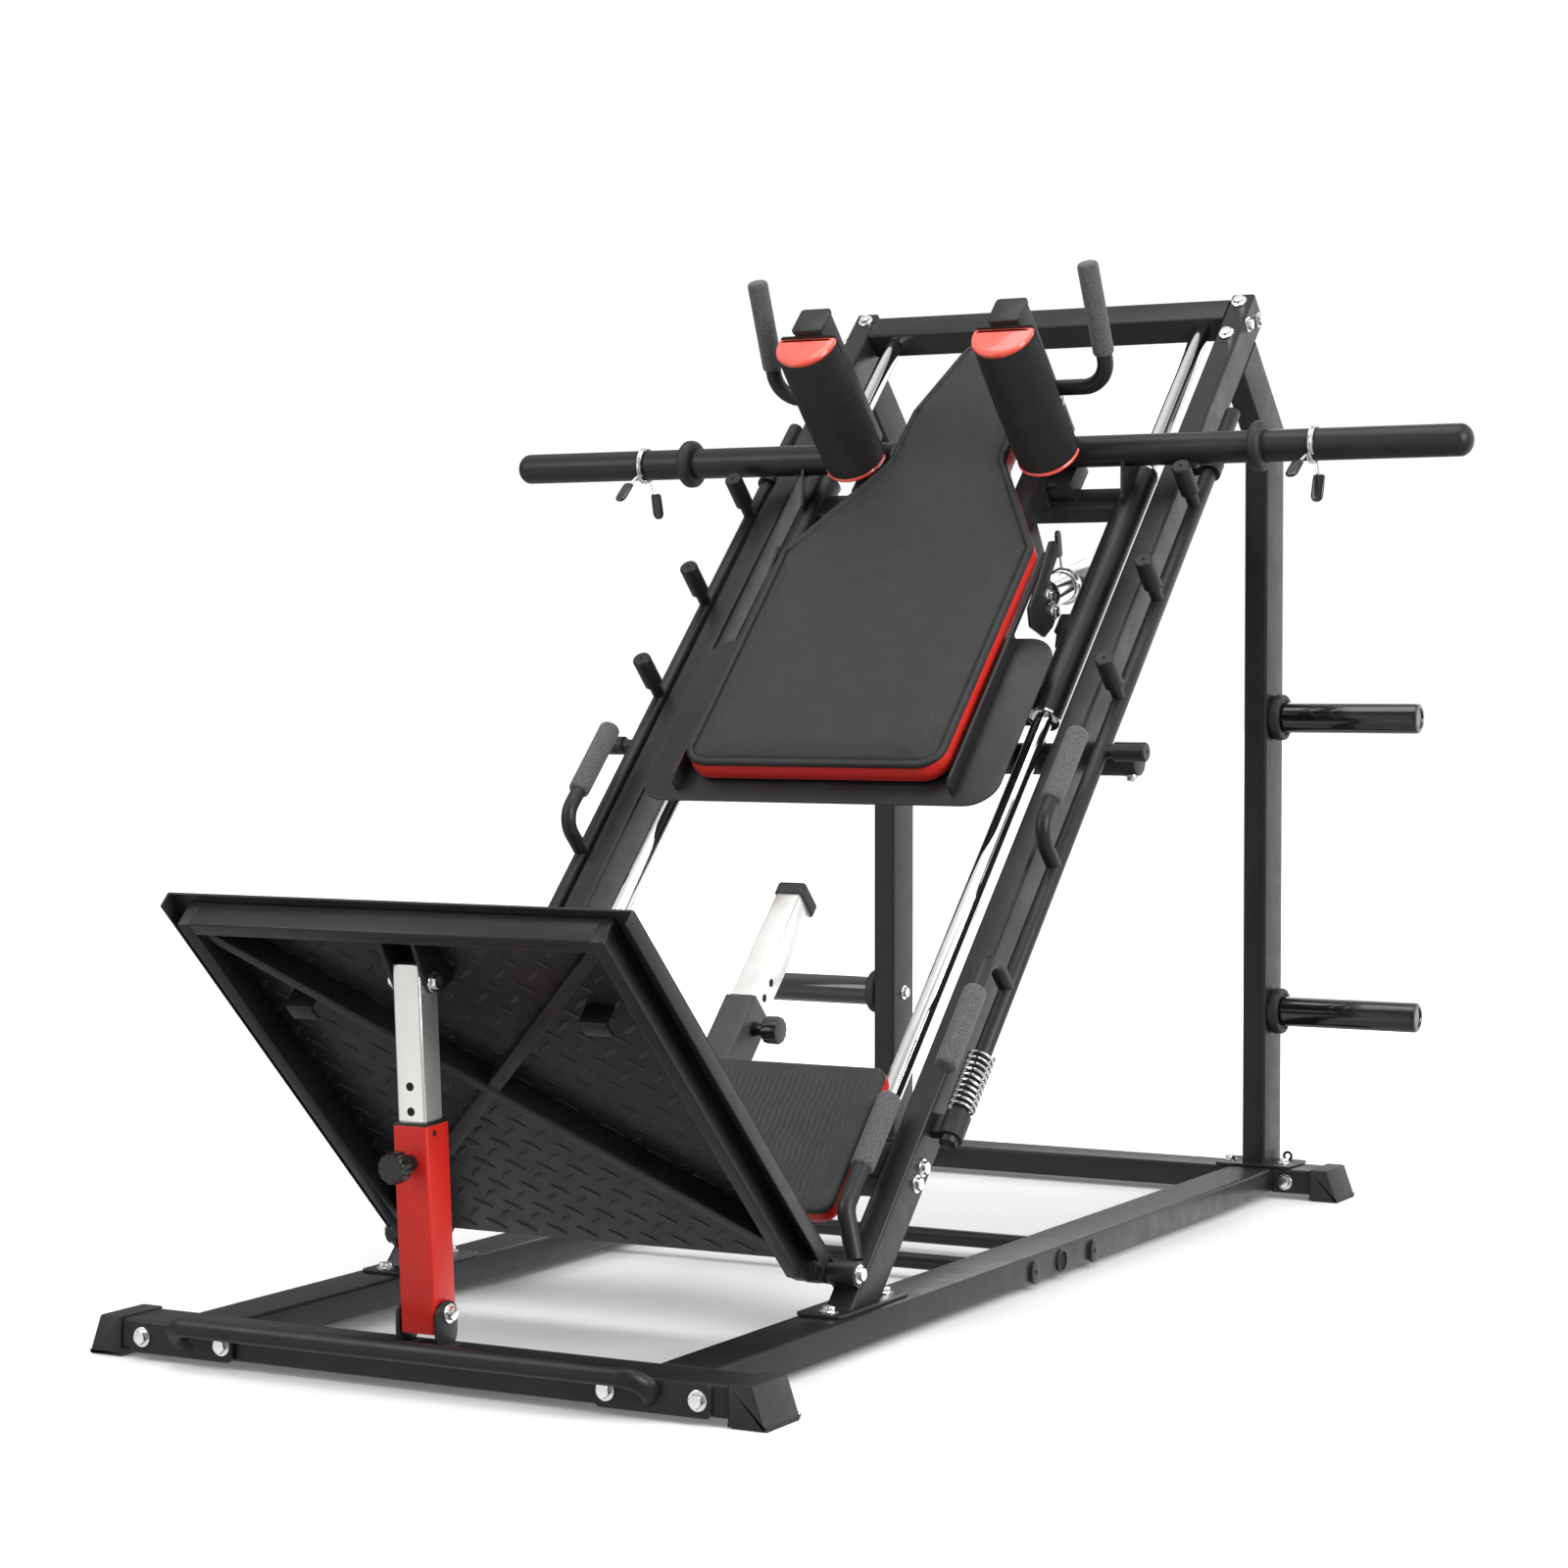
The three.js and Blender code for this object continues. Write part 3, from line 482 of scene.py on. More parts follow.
def plated(name, colour, roughness, streak=0.03, scale=60.0, metal=1.0):
    n = Coat(name)
    cloud = n.noise(scale, 4.0)
    fine = n.noise(900.0, 2.0)
    rough = n.ramp(cloud, 0.3, 0.7, max(0.02, roughness - streak), roughness + streak)
    tint = n.mix(n.ramp(cloud, 0.3, 0.7), tuple(c * 0.93 for c in colour), colour)
    return n.finish(Base_Color=tint, Metallic=metal, Roughness=rough, Normal=n.bump(fine, 0.000008, 0.6))


def vinyl(name, dark, light, scale=520.0, roughness=0.5, depth=0.00022):
    """Grained vinyl: small pebbles between creases."""
    n = Coat(name)
    cells = n.add("ShaderNodeTexVoronoi", feature="DISTANCE_TO_EDGE", Scale=scale)
    n.link(n.coords, cells.inputs["Vector"])
    crease = n.ramp(cells.outputs["Distance"], 0.0, 0.16)
    height = n.maths("ADD", crease, n.maths("MULTIPLY", n.noise(scale * 3.0, 3.0), 0.35))
    shade = n.mix(n.ramp(n.noise(34.0, 4.0), 0.3, 0.7), dark, light)
    # Painted shade: the creases are darkened to 0.55 of the dark tone, as if shade fell in them.
    colour = n.mix(crease, tuple(c * 0.55 for c in dark), shade)
    rough = n.ramp(n.noise(210.0, 2.0), 0.3, 0.7, roughness - 0.06, roughness + 0.08)
    return n.finish(Base_Color=colour, Roughness=rough, Normal=n.bump(height, depth), Sheen_Weight=0.05,
                    Specular_IOR_Level=0.35)


def foam(name):
    n = Coat(name)
    speck = n.noise(780.0, 2.0, 0.7)
    colour = n.mix(n.ramp(speck, 0.42, 0.60), (0.032, 0.032, 0.034), (0.155, 0.155, 0.160))
    pores = n.maths("ADD", speck, n.maths("MULTIPLY", n.noise(240.0, 3.0), 0.8))
    return n.finish(Base_Color=colour, Roughness=0.92, Normal=n.bump(pores, 0.0006), Sheen_Weight=0.2)


def twill(name, centre, radius=0.055):
    """Woven cover: raised diagonal ribs round a roll's own axis, with a finer thread across them."""
    n = Coat(name)
    split = n.add("ShaderNodeSeparateXYZ")
    n.link(n.coords, split.inputs[0])
    diagonal = math.sqrt(0.5)
    along = n.maths("MULTIPLY", n.maths("SUBTRACT", split.outputs["Z"], split.outputs["Y"]), diagonal)
    across = n.maths("MULTIPLY", n.maths("ADD", split.outputs["Z"], split.outputs["Y"]), diagonal)
    aside = n.maths("SUBTRACT", n.maths("ABSOLUTE", split.outputs["X"]), centre.x)
    turn = n.maths("ARCTAN2", aside, n.maths("SUBTRACT", across, (centre.y + centre.z) * diagonal))
    girth = n.maths("MULTIPLY", turn, radius)
    ribs = n.maths("SINE", n.maths("MULTIPLY", n.maths("ADD", along, girth), 1500.0))
    threads = n.maths("SINE", n.maths("MULTIPLY", n.maths("SUBTRACT", along, girth), 3400.0))
    height = n.maths("ADD", ribs, n.maths("MULTIPLY", threads, 0.3))
    # Painted shade: the colour follows the rib height, darker low in the grooves as if shade fell there and
    # lighter on the ribs.
    colour = n.mix(n.ramp(height, -0.9, 1.0), (0.006, 0.006, 0.006), (0.046, 0.046, 0.047))
    return n.finish(Base_Color=colour, Roughness=0.55, Normal=n.bump(height, 0.0009),
                    Specular_IOR_Level=0.35)


def gloss(name, dark, light, roughness, coat=0.6):
    n = Coat(name)
    colour = n.mix(n.ramp(n.noise(14.0, 3.0), 0.3, 0.7), dark, light)
    rough = n.ramp(n.noise(45.0, 3.0), 0.3, 0.7, roughness - 0.03, roughness + 0.04)
    return n.finish(Base_Color=colour, Roughness=rough, Normal=n.bump(n.noise(700.0), 0.00002),
                    Coat_Weight=coat)


# Each finish is (slot, material). The colours are linear.
COAT_DARK, COAT_LIGHT = (0.0150, 0.0150, 0.0155), (0.0205, 0.0205, 0.0210)
BLACK = ("frame_black", powder_coat("black_powder_coat", COAT_DARK, COAT_LIGHT, 0.36))
TREAD = ("tread_plate", powder_coat("tread_plate_coat", COAT_DARK, COAT_LIGHT, 0.36))
GREY = ("frame_black", powder_coat("grey_powder_coat", (0.045, 0.045, 0.046), (0.058, 0.058, 0.060), 0.42))
RED = ("red_paint",
       powder_coat("red_powder_coat", (0.60, 0.020, 0.013), (0.68, 0.026, 0.017), 0.34, edge=0.3))
PEG = ("gloss_black", gloss("gloss_black_enamel", (0.005, 0.005, 0.0055), (0.008, 0.008, 0.009), 0.14))
CHROME = ("chrome", plated("polished_chrome", (0.93, 0.93, 0.93), 0.07, 0.02))
ZINC = ("bright_zinc", plated("bright_zinc", (0.90, 0.90, 0.90), 0.20, 0.05, 180.0))
SATIN = ("satin_steel", plated("satin_nickel", (0.97, 0.96, 0.93), 0.22, 0.04, 25.0, 0.75))
FOAM = ("grip_foam", foam("speckled_foam"))
PAD_TOP = ("pad_vinyl", vinyl("charcoal_vinyl",
                        (0.030, 0.030, 0.031), (0.040, 0.040, 0.041), 640.0, 0.46, 0.0004))
PAD_EDGE = ("pad_vinyl", vinyl("charcoal_welt", (0.026, 0.026, 0.027), (0.040, 0.040, 0.042), 700.0, 0.34))
PAD_RED = ("pad_vinyl", vinyl("red_vinyl_band",
                        (0.72, 0.022, 0.013), (0.80, 0.028, 0.018), 420.0, 0.42, 0.00006))
SEAT_TOP = ("pad_vinyl", vinyl("ribbed_seat_vinyl",
                         (0.020, 0.020, 0.021), (0.032, 0.032, 0.033), 800.0, 0.42, 0.0001))
BOARD = ("pad_vinyl", gloss("pad_board_black", (0.008, 0.008, 0.008), (0.014, 0.014, 0.014), 0.6, 0.0))
ROLL = ("roll_fabric", twill("twill_cover", INCLINE @ Vector((170, 1578, 0))))
CORAL = ("roll_fabric", gloss("coral_end_cap", (0.86, 0.085, 0.055), (0.92, 0.110, 0.070), 0.28, 0.8))
RUBBER = ("rubber_black", gloss("moulded_rubber", (0.012, 0.012, 0.012), (0.018, 0.018, 0.018), 0.55, 0.0))
KNOB = ("knob_plastic", gloss("moulded_knob", (0.009, 0.009, 0.009), (0.014, 0.014, 0.014), 0.32, 0.1))
GRIP_PLASTIC = ("knob_plastic",
                gloss("clip_grip_plastic", (0.009, 0.009, 0.010), (0.016, 0.016, 0.017), 0.22, 0.3))
DARK_HOLE = ("frame_black", gloss("hole_shadow", (0.002, 0.002, 0.002), (0.003, 0.003, 0.003), 0.8, 0.0))


# ---- base ----------------------------------------------------------------------------------------
def front_crossbar(bm):
    prism(bm, rectangle(FRONT_BAR, BAR_Z), "x", -CROSSBAR_HALF, CROSSBAR_HALF)
    for x0, x1 in ((26.5, 31.0), (-31.0, -26.5)):
        prism(bm, rounded([(15, 49), (60, 49), (60, 108), (15, 108)], 20, 8), "x", x0, x1, 0.8)
    for x0, x1 in ((-34, -24), (24, 34)):
        prism(bm, rectangle((11, 64), (48, 53), 1), "x", x0, x1, 0.5)


def base_rail(bm):
    prism(bm, rectangle(BAR_Z, BASE_X), "y", FRONT_BAR[1] + 0.3, REAR_BAR[0] - 0.3)
    for y in CROSS_TUBE_Y:
        ear = rounded([(y - 14, 9), (y + 14, 9), (y + 14, 42), (y - 14, 42)], 13, 6)
        prism(bm, ear, "x", BASE_X[1] - 1, BASE_X[1] + 5, 0.8)
    ring = [(0.0, 16.0), (0.5, 17.0), (3.5, 17.0), (4.0, 16.0), (4.0, 14.0), (1.2, 13.5)]
    turned(bm, (BASE_X[1] - 0.5, 1092, 28), (BASE_X[1] + 5, 1092, 28), ring, 36)


def foot_cap(bm, y0, y1, inner):
    """A cap with a grooved sole; its slanted end sticks out beyond the crossbar."""
    body = [(0, inner, 1), (4.5, inner, 1), (52.5, inner, 2), (52.5, 479, 4), (4.5, 496, 2), (0.6, 497, 1)]
    outline = [Vector((p.x + 3.0 if p.x < 1 else p.x, p.y)) for p in rounded(body, 2, 4)]
    prism(bm, outline, "y", y0, y1, 2.0)
    teeth = 11
    pitch = (y1 - y0 - 6) / teeth
    for i in range(teeth):
        start = y0 + 3 + pitch * i
        block(bm, (inner + 2, 497.3), (start + 0.8, start + pitch - 0.8), (0.0, 5.0), 0.8, 0.7)


def step_bar(bm):
    bent_bar(bm, [(-338, 3.0, 26), (-362, -30.5, 55), (362, -30.5, 55), (338, 3.0, 26)], 26, 13, 32)


def step_plates(bm):
    for x0, x1 in ((268, 425), (-425, -268)):
        prism(bm, rectangle((9, 49), (x0, x1), 6), "y", -4.5, 1.7, 0.8)


def made(shape, *sizes):
    """A builder of one shape."""
    return lambda bm: shape(bm, *sizes)


def bolts(*places):
    def build(bm):
        for place in places:
            hex_bolt(bm, *place)
    return build


def build_base():
    piece("crossbar_front", ON_FLOOR, BLACK, front_crossbar, "front_crossbar")
    reach = CROSSBAR_HALF + 3
    piece("crossbar_rear", ON_FLOOR, BLACK,
          made(prism, rectangle(REAR_BAR, BAR_Z), "x", -reach, reach), "rear_crossbar")
    pair("floor_rail", ON_FLOOR, BLACK, base_rail, "base_rail_{}")
    pair("foot_front", ON_FLOOR, RUBBER, made(foot_cap, -1.2, 85, CROSSBAR_HALF + 0.3), "foot_cap_front_{}")
    pair("foot_rear", ON_FLOOR, RUBBER, made(foot_cap, 1962.8, 2053, CROSSBAR_HALF + 3), "foot_cap_rear_{}")
    piece("step_bar_tube", ON_FLOOR, BLACK, step_bar, "front_step_bar")
    piece("step_bar_plates", ON_FLOOR, BLACK, step_plates)
    heads = [((x, -4.5, 30), (0, -1, 0)) for x in (-408.5, -282.6, 282.6, 408.5)]
    piece("step_bar_bolts", ON_FLOOR, ZINC, bolts(*heads))
    pivot_heads = [((31, 41, 92), (1, 0, 0)), ((-31, 41, 92), (-1, 0, 0))]
    piece("post_foot_bolts", ON_FLOOR, ZINC, bolts(*pivot_heads))
    for name, y in zip(("cross_tube_front", "cross_tube_rear"), CROSS_TUBE_Y):
        piece(f"{name}_bar", ON_FLOOR, BLACK, made(bar, (-305.7, y, 27), (305.7, y, 27), 12), name)
    flange_holes = [(391, y, 26) for y in CROSS_TUBE_Y]
    pair("cross_tube_holes", ON_FLOOR, DARK_HOLE, hole_marks(flange_holes, (1, 0, 0), 3.6))
    pair("rail_side_holes", ON_FLOOR, DARK_HOLE, hole_marks([(387, 1092, 28)], (1, 0, 0), 13.4))


# ---- rails, uprights and the beams between them --------------------------------------------------
FOOT_TOP = 55.0
FOOT_CUT = (FOOT_TOP - INCLINE_Z) * math.sqrt(2)  # s + n of points level with the foot plate


def rail_boss(bm):
    bar(bm, (RAIL_IN + 0.2, PIVOT_S, PIVOT_N), (RAIL_OUT, PIVOT_S, PIVOT_N), 17, 36)
    prism(bm, rectangle((PIVOT_S - 13, PIVOT_S + 13), (-1, 9), 1), "x", RAIL_IN + 1, RAIL_OUT - 1, 0.5)


def rod_bearing(bm, low, high):
    rim = [(0.0, 14.2), (0.0, 17.0), (1.0, 18.0)]
    turned(bm, (LOCK_X, low, LOCK_N), (LOCK_X, high, LOCK_N), rim, 40, mirror=True)
    web = rectangle((low + 4, high - 4), (LOCK_N - 8, LOCK_N + 8), 2)
    prism(bm, web, "x", RAIL_OUT - 1, LOCK_X - 12, 0.8)


UPRIGHT_FRONT, UPRIGHT_DEPTH, LEAN_LOW = 1975.0, 80.0, 1920.0
MITRE_Z = math.sqrt(2) * LEAN_LOW - (UPRIGHT_FRONT - INCLINE_Y) + INCLINE_Z


def upright(bm):
    outline = rectangle((RAIL_IN, RAIL_OUT), (0, UPRIGHT_DEPTH))
    slope = math.tan(math.pi / 8)
    to_floor = FLOOR.inverted() @ INCLINE
    foot = [Vector((p.x, UPRIGHT_FRONT + p.y, FOOT_TOP)) for p in outline]
    mitre = [Vector((p.x, UPRIGHT_FRONT + p.y, MITRE_Z + slope * p.y)) for p in outline]
    top = [to_floor @ Vector((p.x, LEAN_LOW + p.y, -RAIL_DEPTH - 0.3)) for p in outline]
    add_rings(bm, [foot, mitre, top])


PEG_Y, PEG_HEIGHTS = 2015, (309, 801)


def storage_peg(bm, z):
    profile = [(0.0, 24.0), (0.0, 25.0), (246.5, 25.0), (250.0, 23.6), (251.7, 21.0), (251.7, 17.0),
               (249.5, 15.5), (249.5, 5.0)]
    turned(bm, (RAIL_OUT + 0.3, PEG_Y, z), (RAIL_OUT + 252.3, PEG_Y, z), profile, 56)


def peg_collars(bm):
    profile = [(0.0, 25.1), (0.0, 34.0), (2.0, 34.0), (3.0, 37.0), (5.0, 38.2), (16.0, 38.2), (18.4, 36.8),
               (19.0, 34.0), (19.0, 30.0), (16.5, 28.5)]
    for z in PEG_HEIGHTS:
        turned(bm, (RAIL_OUT + 0.3, PEG_Y, z), (RAIL_OUT + 20, PEG_Y, z), profile, 56)


def lifting_eye(bm):
    """A small ring standing behind the upright's foot plate."""
    centre = Vector((381, 2047, 61))
    turns = around(28)
    points = [centre + Vector((6.5 * math.cos(a), 0, 6.5 * math.sin(a))) for a in turns]
    tangents = [Vector((-math.sin(a), 0, math.cos(a))) for a in turns]
    sweep(bm, points, tangents, [2.3] * 28, 12, loop=True)


def brace(bm):
    bar(bm, (-428, 1072, -84.5), (428, 1072, -84.5), 24, 44, 3)
    for x in (-346, 346):
        prism(bm, rectangle((1060, 1084), (-70, -60.3), 2), "x", x - 12, x + 12, 0.8)


def cross_beam(bm, span_s, span_n):
    prism(bm, rectangle(span_s, span_n), "x", -RAIL_IN + 0.3, RAIL_IN - 0.3)


def build_frame():
    outline = rectangle((-RAIL_DEPTH, 0), (RAIL_IN, RAIL_OUT))
    pair("rail_tube", ON_RAILS, BLACK,
         made(prism, outline, "y", lambda p: FOOT_CUT - p.x, RAIL_TOP, 1.2), "rail_{}")
    pair("rail_boss", ON_RAILS, BLACK, rail_boss)
    outline = rectangle((-RAIL_DEPTH + 1.5, -1.5), (RAIL_IN + 1.5, RAIL_OUT - 1.5), 4)
    pair("rail_end_cap", ON_RAILS, RUBBER, made(prism, outline, "y", RAIL_TOP - 4, RAIL_TOP + 2.5, 1.5))
    pair("rail_foot_plate", ON_FLOOR, BLACK, made(block, (306, 374), (424, 625), (50.3, FOOT_TOP), 10))
    pair("rod_bearing_low", ON_RAILS, BLACK, made(rod_bearing, 310, 350))
    pair("rod_bearing_high", ON_RAILS, BLACK, made(rod_bearing, 1636, 1660))
    side = [((RAIL_OUT, s, n), (1, 0, 0)) for s, n in ((240, -35), (267, -35), (2030, -40), (1990, -16))]
    side.append(((RAIL_OUT, PIVOT_S, PIVOT_N), (1, 0, 0)))
    pair("rail_bolts", ON_RAILS, ZINC, bolts(*side, ((344, 2030, 0), (0, 0, 1))))
    piece("rail_front_bolt", ON_RAILS, ZINC, bolts(((344, 1950, 0), (0, 0, 1))))
    feet = [((346, y, FOOT_TOP), (0, 0, 1)) for y in (445, 603)]
    feet += [((x, 2000, FOOT_TOP), (0, 0, 1)) for x in (297, 391)]
    feet += [((LOCK_X + 11, REAR_BAR[0], 29), (0, -1, 0))]
    pair("foot_plate_bolts", ON_FLOOR, ZINC, bolts(*feet))
    pair("upright_tube", ON_FLOOR, BLACK, upright, "upright_{}")
    pair("upright_foot_plate", ON_FLOOR, BLACK, made(block, (281, 413), (1966, 2056), (50.3, FOOT_TOP), 8))
    for label, z in zip(("low", "high"), PEG_HEIGHTS):
        pair(f"plate_peg_{label}", ON_FLOOR, PEG, made(storage_peg, z), f"storage_peg_{label}_{{}}")
    pair("plate_peg_collars", ON_FLOOR, RUBBER, peg_collars)
    pair("lifting_eye", ON_FLOOR, BLACK, lifting_eye)
    peg_nuts = [((RAIL_IN, PEG_Y, z), (-1, 0, 0)) for z in PEG_HEIGHTS]
    pair("plate_peg_bolts", ON_FLOOR, ZINC, bolts(*peg_nuts))
    piece("beam_top", ON_RAILS, BLACK, made(cross_beam, (1989, 2039), (-50, 0)), "top_beam")
    piece("beam_low", ON_RAILS, BLACK, made(cross_beam, (225, 285), (-55, -5)), "lower_cross_member")
    piece("brace_tube", ON_RAILS, BLACK, brace, "brace_bar")
    toward = Vector((0, -0.82, -0.57)).normalized()
    brace_end = Vector((416, 1072, -84.5)) + toward * 23.6
    pair("brace_bolts", ON_RAILS, ZINC, bolts((brace_end, toward, 7.0)))
    pair("guide_shaft", ON_RAILS, CHROME,
         made(bar, (GUIDE_X, 286.3, GUIDE_N), (GUIDE_X, 1988.6, GUIDE_N), 15, 40, 1.5), "guide_rod_{}")


# ---- seat, low handles and the stop --------------------------------------------------------------
def seat_base(bm):
    prism(bm, rectangle((-294, 294), (138, 380), 20, 6), "z", 3.6, 7.0, 1.0)
    for x in (-200, 200):
        block(bm, (x - 30, x + 30), (232, 278), (-4.6, 5.0), 2, 0.6)


RIB_PITCH = 9.0


def seat_cover(bm):
    """Ribbed, crowned top whose skin rolls over into the side band."""
    outline = resample(rectangle((-297, 297), (135, 383), 22, 8), 3.0)
    grid_rings = []
    for share, rise in ((0.0, 25.6), (0.3, 27.4), (1.2, 29.2), (3.0, 30.8), (6.0, 31.8)):
        grid_rings.append([Vector((p.x, p.y, rise)) for p in inset(outline, share * 1.6)])
    steps_x, steps_s = 300, 26
    inner = inset(outline, 9.6)
    low_x, high_x = min(p.x for p in inner), max(p.x for p in inner)
    low_s, high_s = min(p.y for p in inner), max(p.y for p in inner)
    add_rings(bm, [[Vector((p.x, p.y, 25.2)) for p in inset(outline, 3)]] + grid_rings)
    rows = []
    for j in range(steps_s + 1):
        v = j / steps_s
        s = low_s + (high_s - low_s) * v
        row = []
        for i in range(steps_x + 1):
            u = i / steps_x
            x = low_x + (high_x - low_x) * u
            side = min(u, 1 - u) * (high_x - low_x)
            end = min(v, 1 - v) * (high_s - low_s)
            fade = min(1.0, side / 10.0, end / 10.0)
            crown = 2.2 * (1 - (2 * u - 1) ** 4) * (1 - (2 * v - 1) ** 4)
            rib = 0.9 * math.cos(2 * math.pi * (x + 1.6 * math.sin(s / 9.0)) / RIB_PITCH)
            row.append(Vector((x, s, 30.6 + fade * (crown + rib) + 0.8 * fade)))
        rows.append(row)
    add_patch(bm, rows, 26.0)


def add_patch(bm, rows, floor):
    """A closed slab whose top is a grid of points and whose underside is flat."""
    top = [[bm.verts.new(p) for p in row] for row in rows]
    for a, b in zip(top, top[1:]):
        for i in range(len(a) - 1):
            bm.faces.new((a[i], a[i + 1], b[i + 1], b[i]))
    rim = top[0] + [row[-1] for row in top[1:]] + top[-1][-2::-1] + [row[0] for row in top[-2:0:-1]]
    base = [bm.verts.new((v.co.x, v.co.y, floor)) for v in rim]
    for i in range(len(rim)):
        j = (i + 1) % len(rim)
        bm.faces.new((rim[j], rim[i], base[i], base[j]))
    bm.faces.new(base)


def low_handle(bm):
    bent_bar(bm, [(341, 88, -2.0), (322, 140, 38), (322, 322, 38)], 34, 12.5, 32)


def grip(bm, start, end, radius=16.5):
    """A foam sleeve with rounded ends."""
    drops = ((0.0, 7.0), (0.5, 4.2), (1.8, 2.0), (4.2, 0.5), (8.0, 0.0))
    turned(bm, start, end, [(height, radius - drop) for height, drop in drops], 40, mirror=True)


def build_seat():
    piece("seat_board", ON_RAILS, BOARD, seat_base, "seat_pad")
    piece("seat_side_band", ON_RAILS, PAD_RED,
          made(prism, rectangle((-296, 296), (136, 382), 21, 8), "z", 6.0, 26.0, 1.2, 1.8))
    piece("seat_cover", ON_RAILS, SEAT_TOP, seat_cover, angle=60)
    pair("low_handle_tube", ON_RAILS, BLACK, low_handle, "low_handle_{}")
    pair("low_handle_grip", ON_RAILS, FOAM, made(grip, (322, 205, 38), (322, 328, 38)))
    piece("stop_outer_tube", ON_RAILS, GREY,
          made(prism, rectangle((-60, 0), (-25, 25), 4), "y", 285.3, 521, 1.0), "stop_sleeve")
    piece("stop_bushing", ON_RAILS, KNOB,
          made(prism, rectangle((-57, -3), (-22, 22), 3), "y", 517, 524, 0.8))


def hole_marks(points, out, radius=6.0):
    """Shallow dark cups where a tube wall is drilled."""
    def build(bm):
        for point in points:
            start, way = Vector(point), Vector(out)
            turned(bm, start - way * 1.5, start + way * 0.25, [(0.0, radius - 1.5), (1.75, radius)], 24)
    return build


def fluted_knob(bm, base, out):
    """A pull knob: threaded collar, then a fluted head with a domed face."""
    base = Vector(base)
    out = Vector(out).normalized()
    turned(bm, base, base + out * 20, [(0.0, 9.0), (0.0, 10.5), (7.0, 10.5), (7.6, 9.0), (20.0, 9.0)], 32)
    u = out.orthogonal().normalized()
    v = out.cross(u)
    levels = ((18.5, 12.0, 0.0), (19.5, 17.0, 0.6), (22.0, 19.0, 1.0), (40.0, 19.4, 1.0), (43.0, 18.0, 0.7),
              (44.2, 14.0, 0.0))  # height, radius, depth of the flutes

    def point(level, turn):
        height, size, flute = level
        reach = size + flute * 0.75 * math.cos(12 * turn)
        return base + out * height + (u * math.cos(turn) + v * math.sin(turn)) * reach

    shell(bm, levels, 120, point)


STOP_PIN, STOP_PITCH, STOP_N = 483.0, 28.7, -30.0


def build_stop():
    piece("stop_inner_tube", STOP_UPPER, SATIN,
          made(prism, rectangle((-55, -5), (-20, 20), 4), "y", 407.6, 731, 1.0), "stop_tube")
    holes = [(20, STOP_PIN + k * STOP_PITCH, STOP_N) for k in (2, 3)]
    piece("stop_tube_holes", STOP_UPPER, ("satin_steel", DARK_HOLE[1]), hole_marks(holes, (1, 0, 0)))
    piece("stop_bumper", STOP_UPPER, RUBBER,
          made(prism, rectangle((-58, -2), (-23, 23), 6, 6), "y", 718, 739, 2.5), "stop_cap")
    piece("stop_pull_knob", STOP_KNOB, KNOB,
          made(fluted_knob, (25.3, STOP_PIN, STOP_N), (1, 0, 0)), "stop_knob")


# ---- carriage ------------------------------------------------------------------------------------
def guide_tubes(bm):
    wall = [(0.0, 15.6), (0.0, 22.8), (1.2, 24.0)]
    for side in (-1, 1):
        turned(bm, (side * GUIDE_X, 1094, GUIDE_N), (side * GUIDE_X, 1640, GUIDE_N), wall, 44, mirror=True)


def carriage_members(bm):
    reach = GUIDE_X - 20
    prism(bm, rectangle((1100, 1150), (-45, 1), 4), "x", -reach, reach)
    prism(bm, rectangle((1545, 1595), (-42, -11), 4), "x", -reach, reach)
    for side in (-1, 1):
        span = on_side(side, 110, 150)
        prism(bm, rectangle((0, 40), span, 4), "y", 900, 1588)
        block(bm, span, (1552, 1586), (-13, 1), 2, 0.6)
        block(bm, on_side(side, 146, 194), (1562, 1636), (-12, SLEEVE_N - 24), 3, 0.8)
        gusset = [(1546, -8), (1640, -8), (1640, 26), (1628, 30), (1602, 30), (1591, 53), (1556, 18),
                  (1546, 10)]
        prism(bm, rounded(gusset, 2, 2), "x", side * GUIDE_X - 2.5, side * GUIDE_X + 2.5, 0.6)
    s, n = HORN_BASE
    hanger = rounded([(s - 35, 14), (s - 8, n + 8), (s - 4, n - 12), (s + 26, n + 4), (s + 50, 14)], 4, 3)
    prism(bm, hanger, "x", HORN_X - 5, HORN_X + 5, 0.8)


def bush_rings(bm):
    rim = [(0.0, 15.5), (0.0, 22.0), (1.5, 24.6), (5.0, 24.6), (6.0, 23.5)]
    for side in (-1, 1):
        for s, way in ((1094, -1), (1640, 1)):
            outer, inner = ((side * GUIDE_X, s + shift * way, GUIDE_N) for shift in (0.2, -6))
            turned(bm, outer, inner, rim, 44)


PAD_RIGHT = [(216, 892, 40), (218, 1355, 26), (102, 1560, 60), (100, 1683, 30), (55, 1842, 18)]
PAD_OUTLINE = [(-216, 892, 40)] + PAD_RIGHT + [(-x, s, size) for x, s, size in PAD_RIGHT[:0:-1]]


def pad_outline(shrink=0.0):
    return inset(rounded(PAD_OUTLINE, 20, 8), shrink)


def back_welt(bm):
    """The rolled edge: a fat welt gathered into fine ribs."""
    path = resample(pad_outline(5.2), 1.5)
    count = len(path)
    points = [Vector((p.x, p.y, 84.5)) for p in path]
    tangents = [(points[(i + 1) % count] - points[i - 1]).normalized() for i in range(count)]
    radii = [6.5 if i % 2 else 5.2 for i in range(count)]
    up = Vector((0, 0, 1))
    rings = []
    for point, tangent, radius in zip(points, tangents, radii):
        side = tangent.cross(up)
        rings.append([point + (side * math.cos(t) + up * math.sin(t)) * radius for t in around(12)])
    add_rings(bm, rings, loop=True)


VOXEL = 0.0055
CLOTH_FRAMES = 18


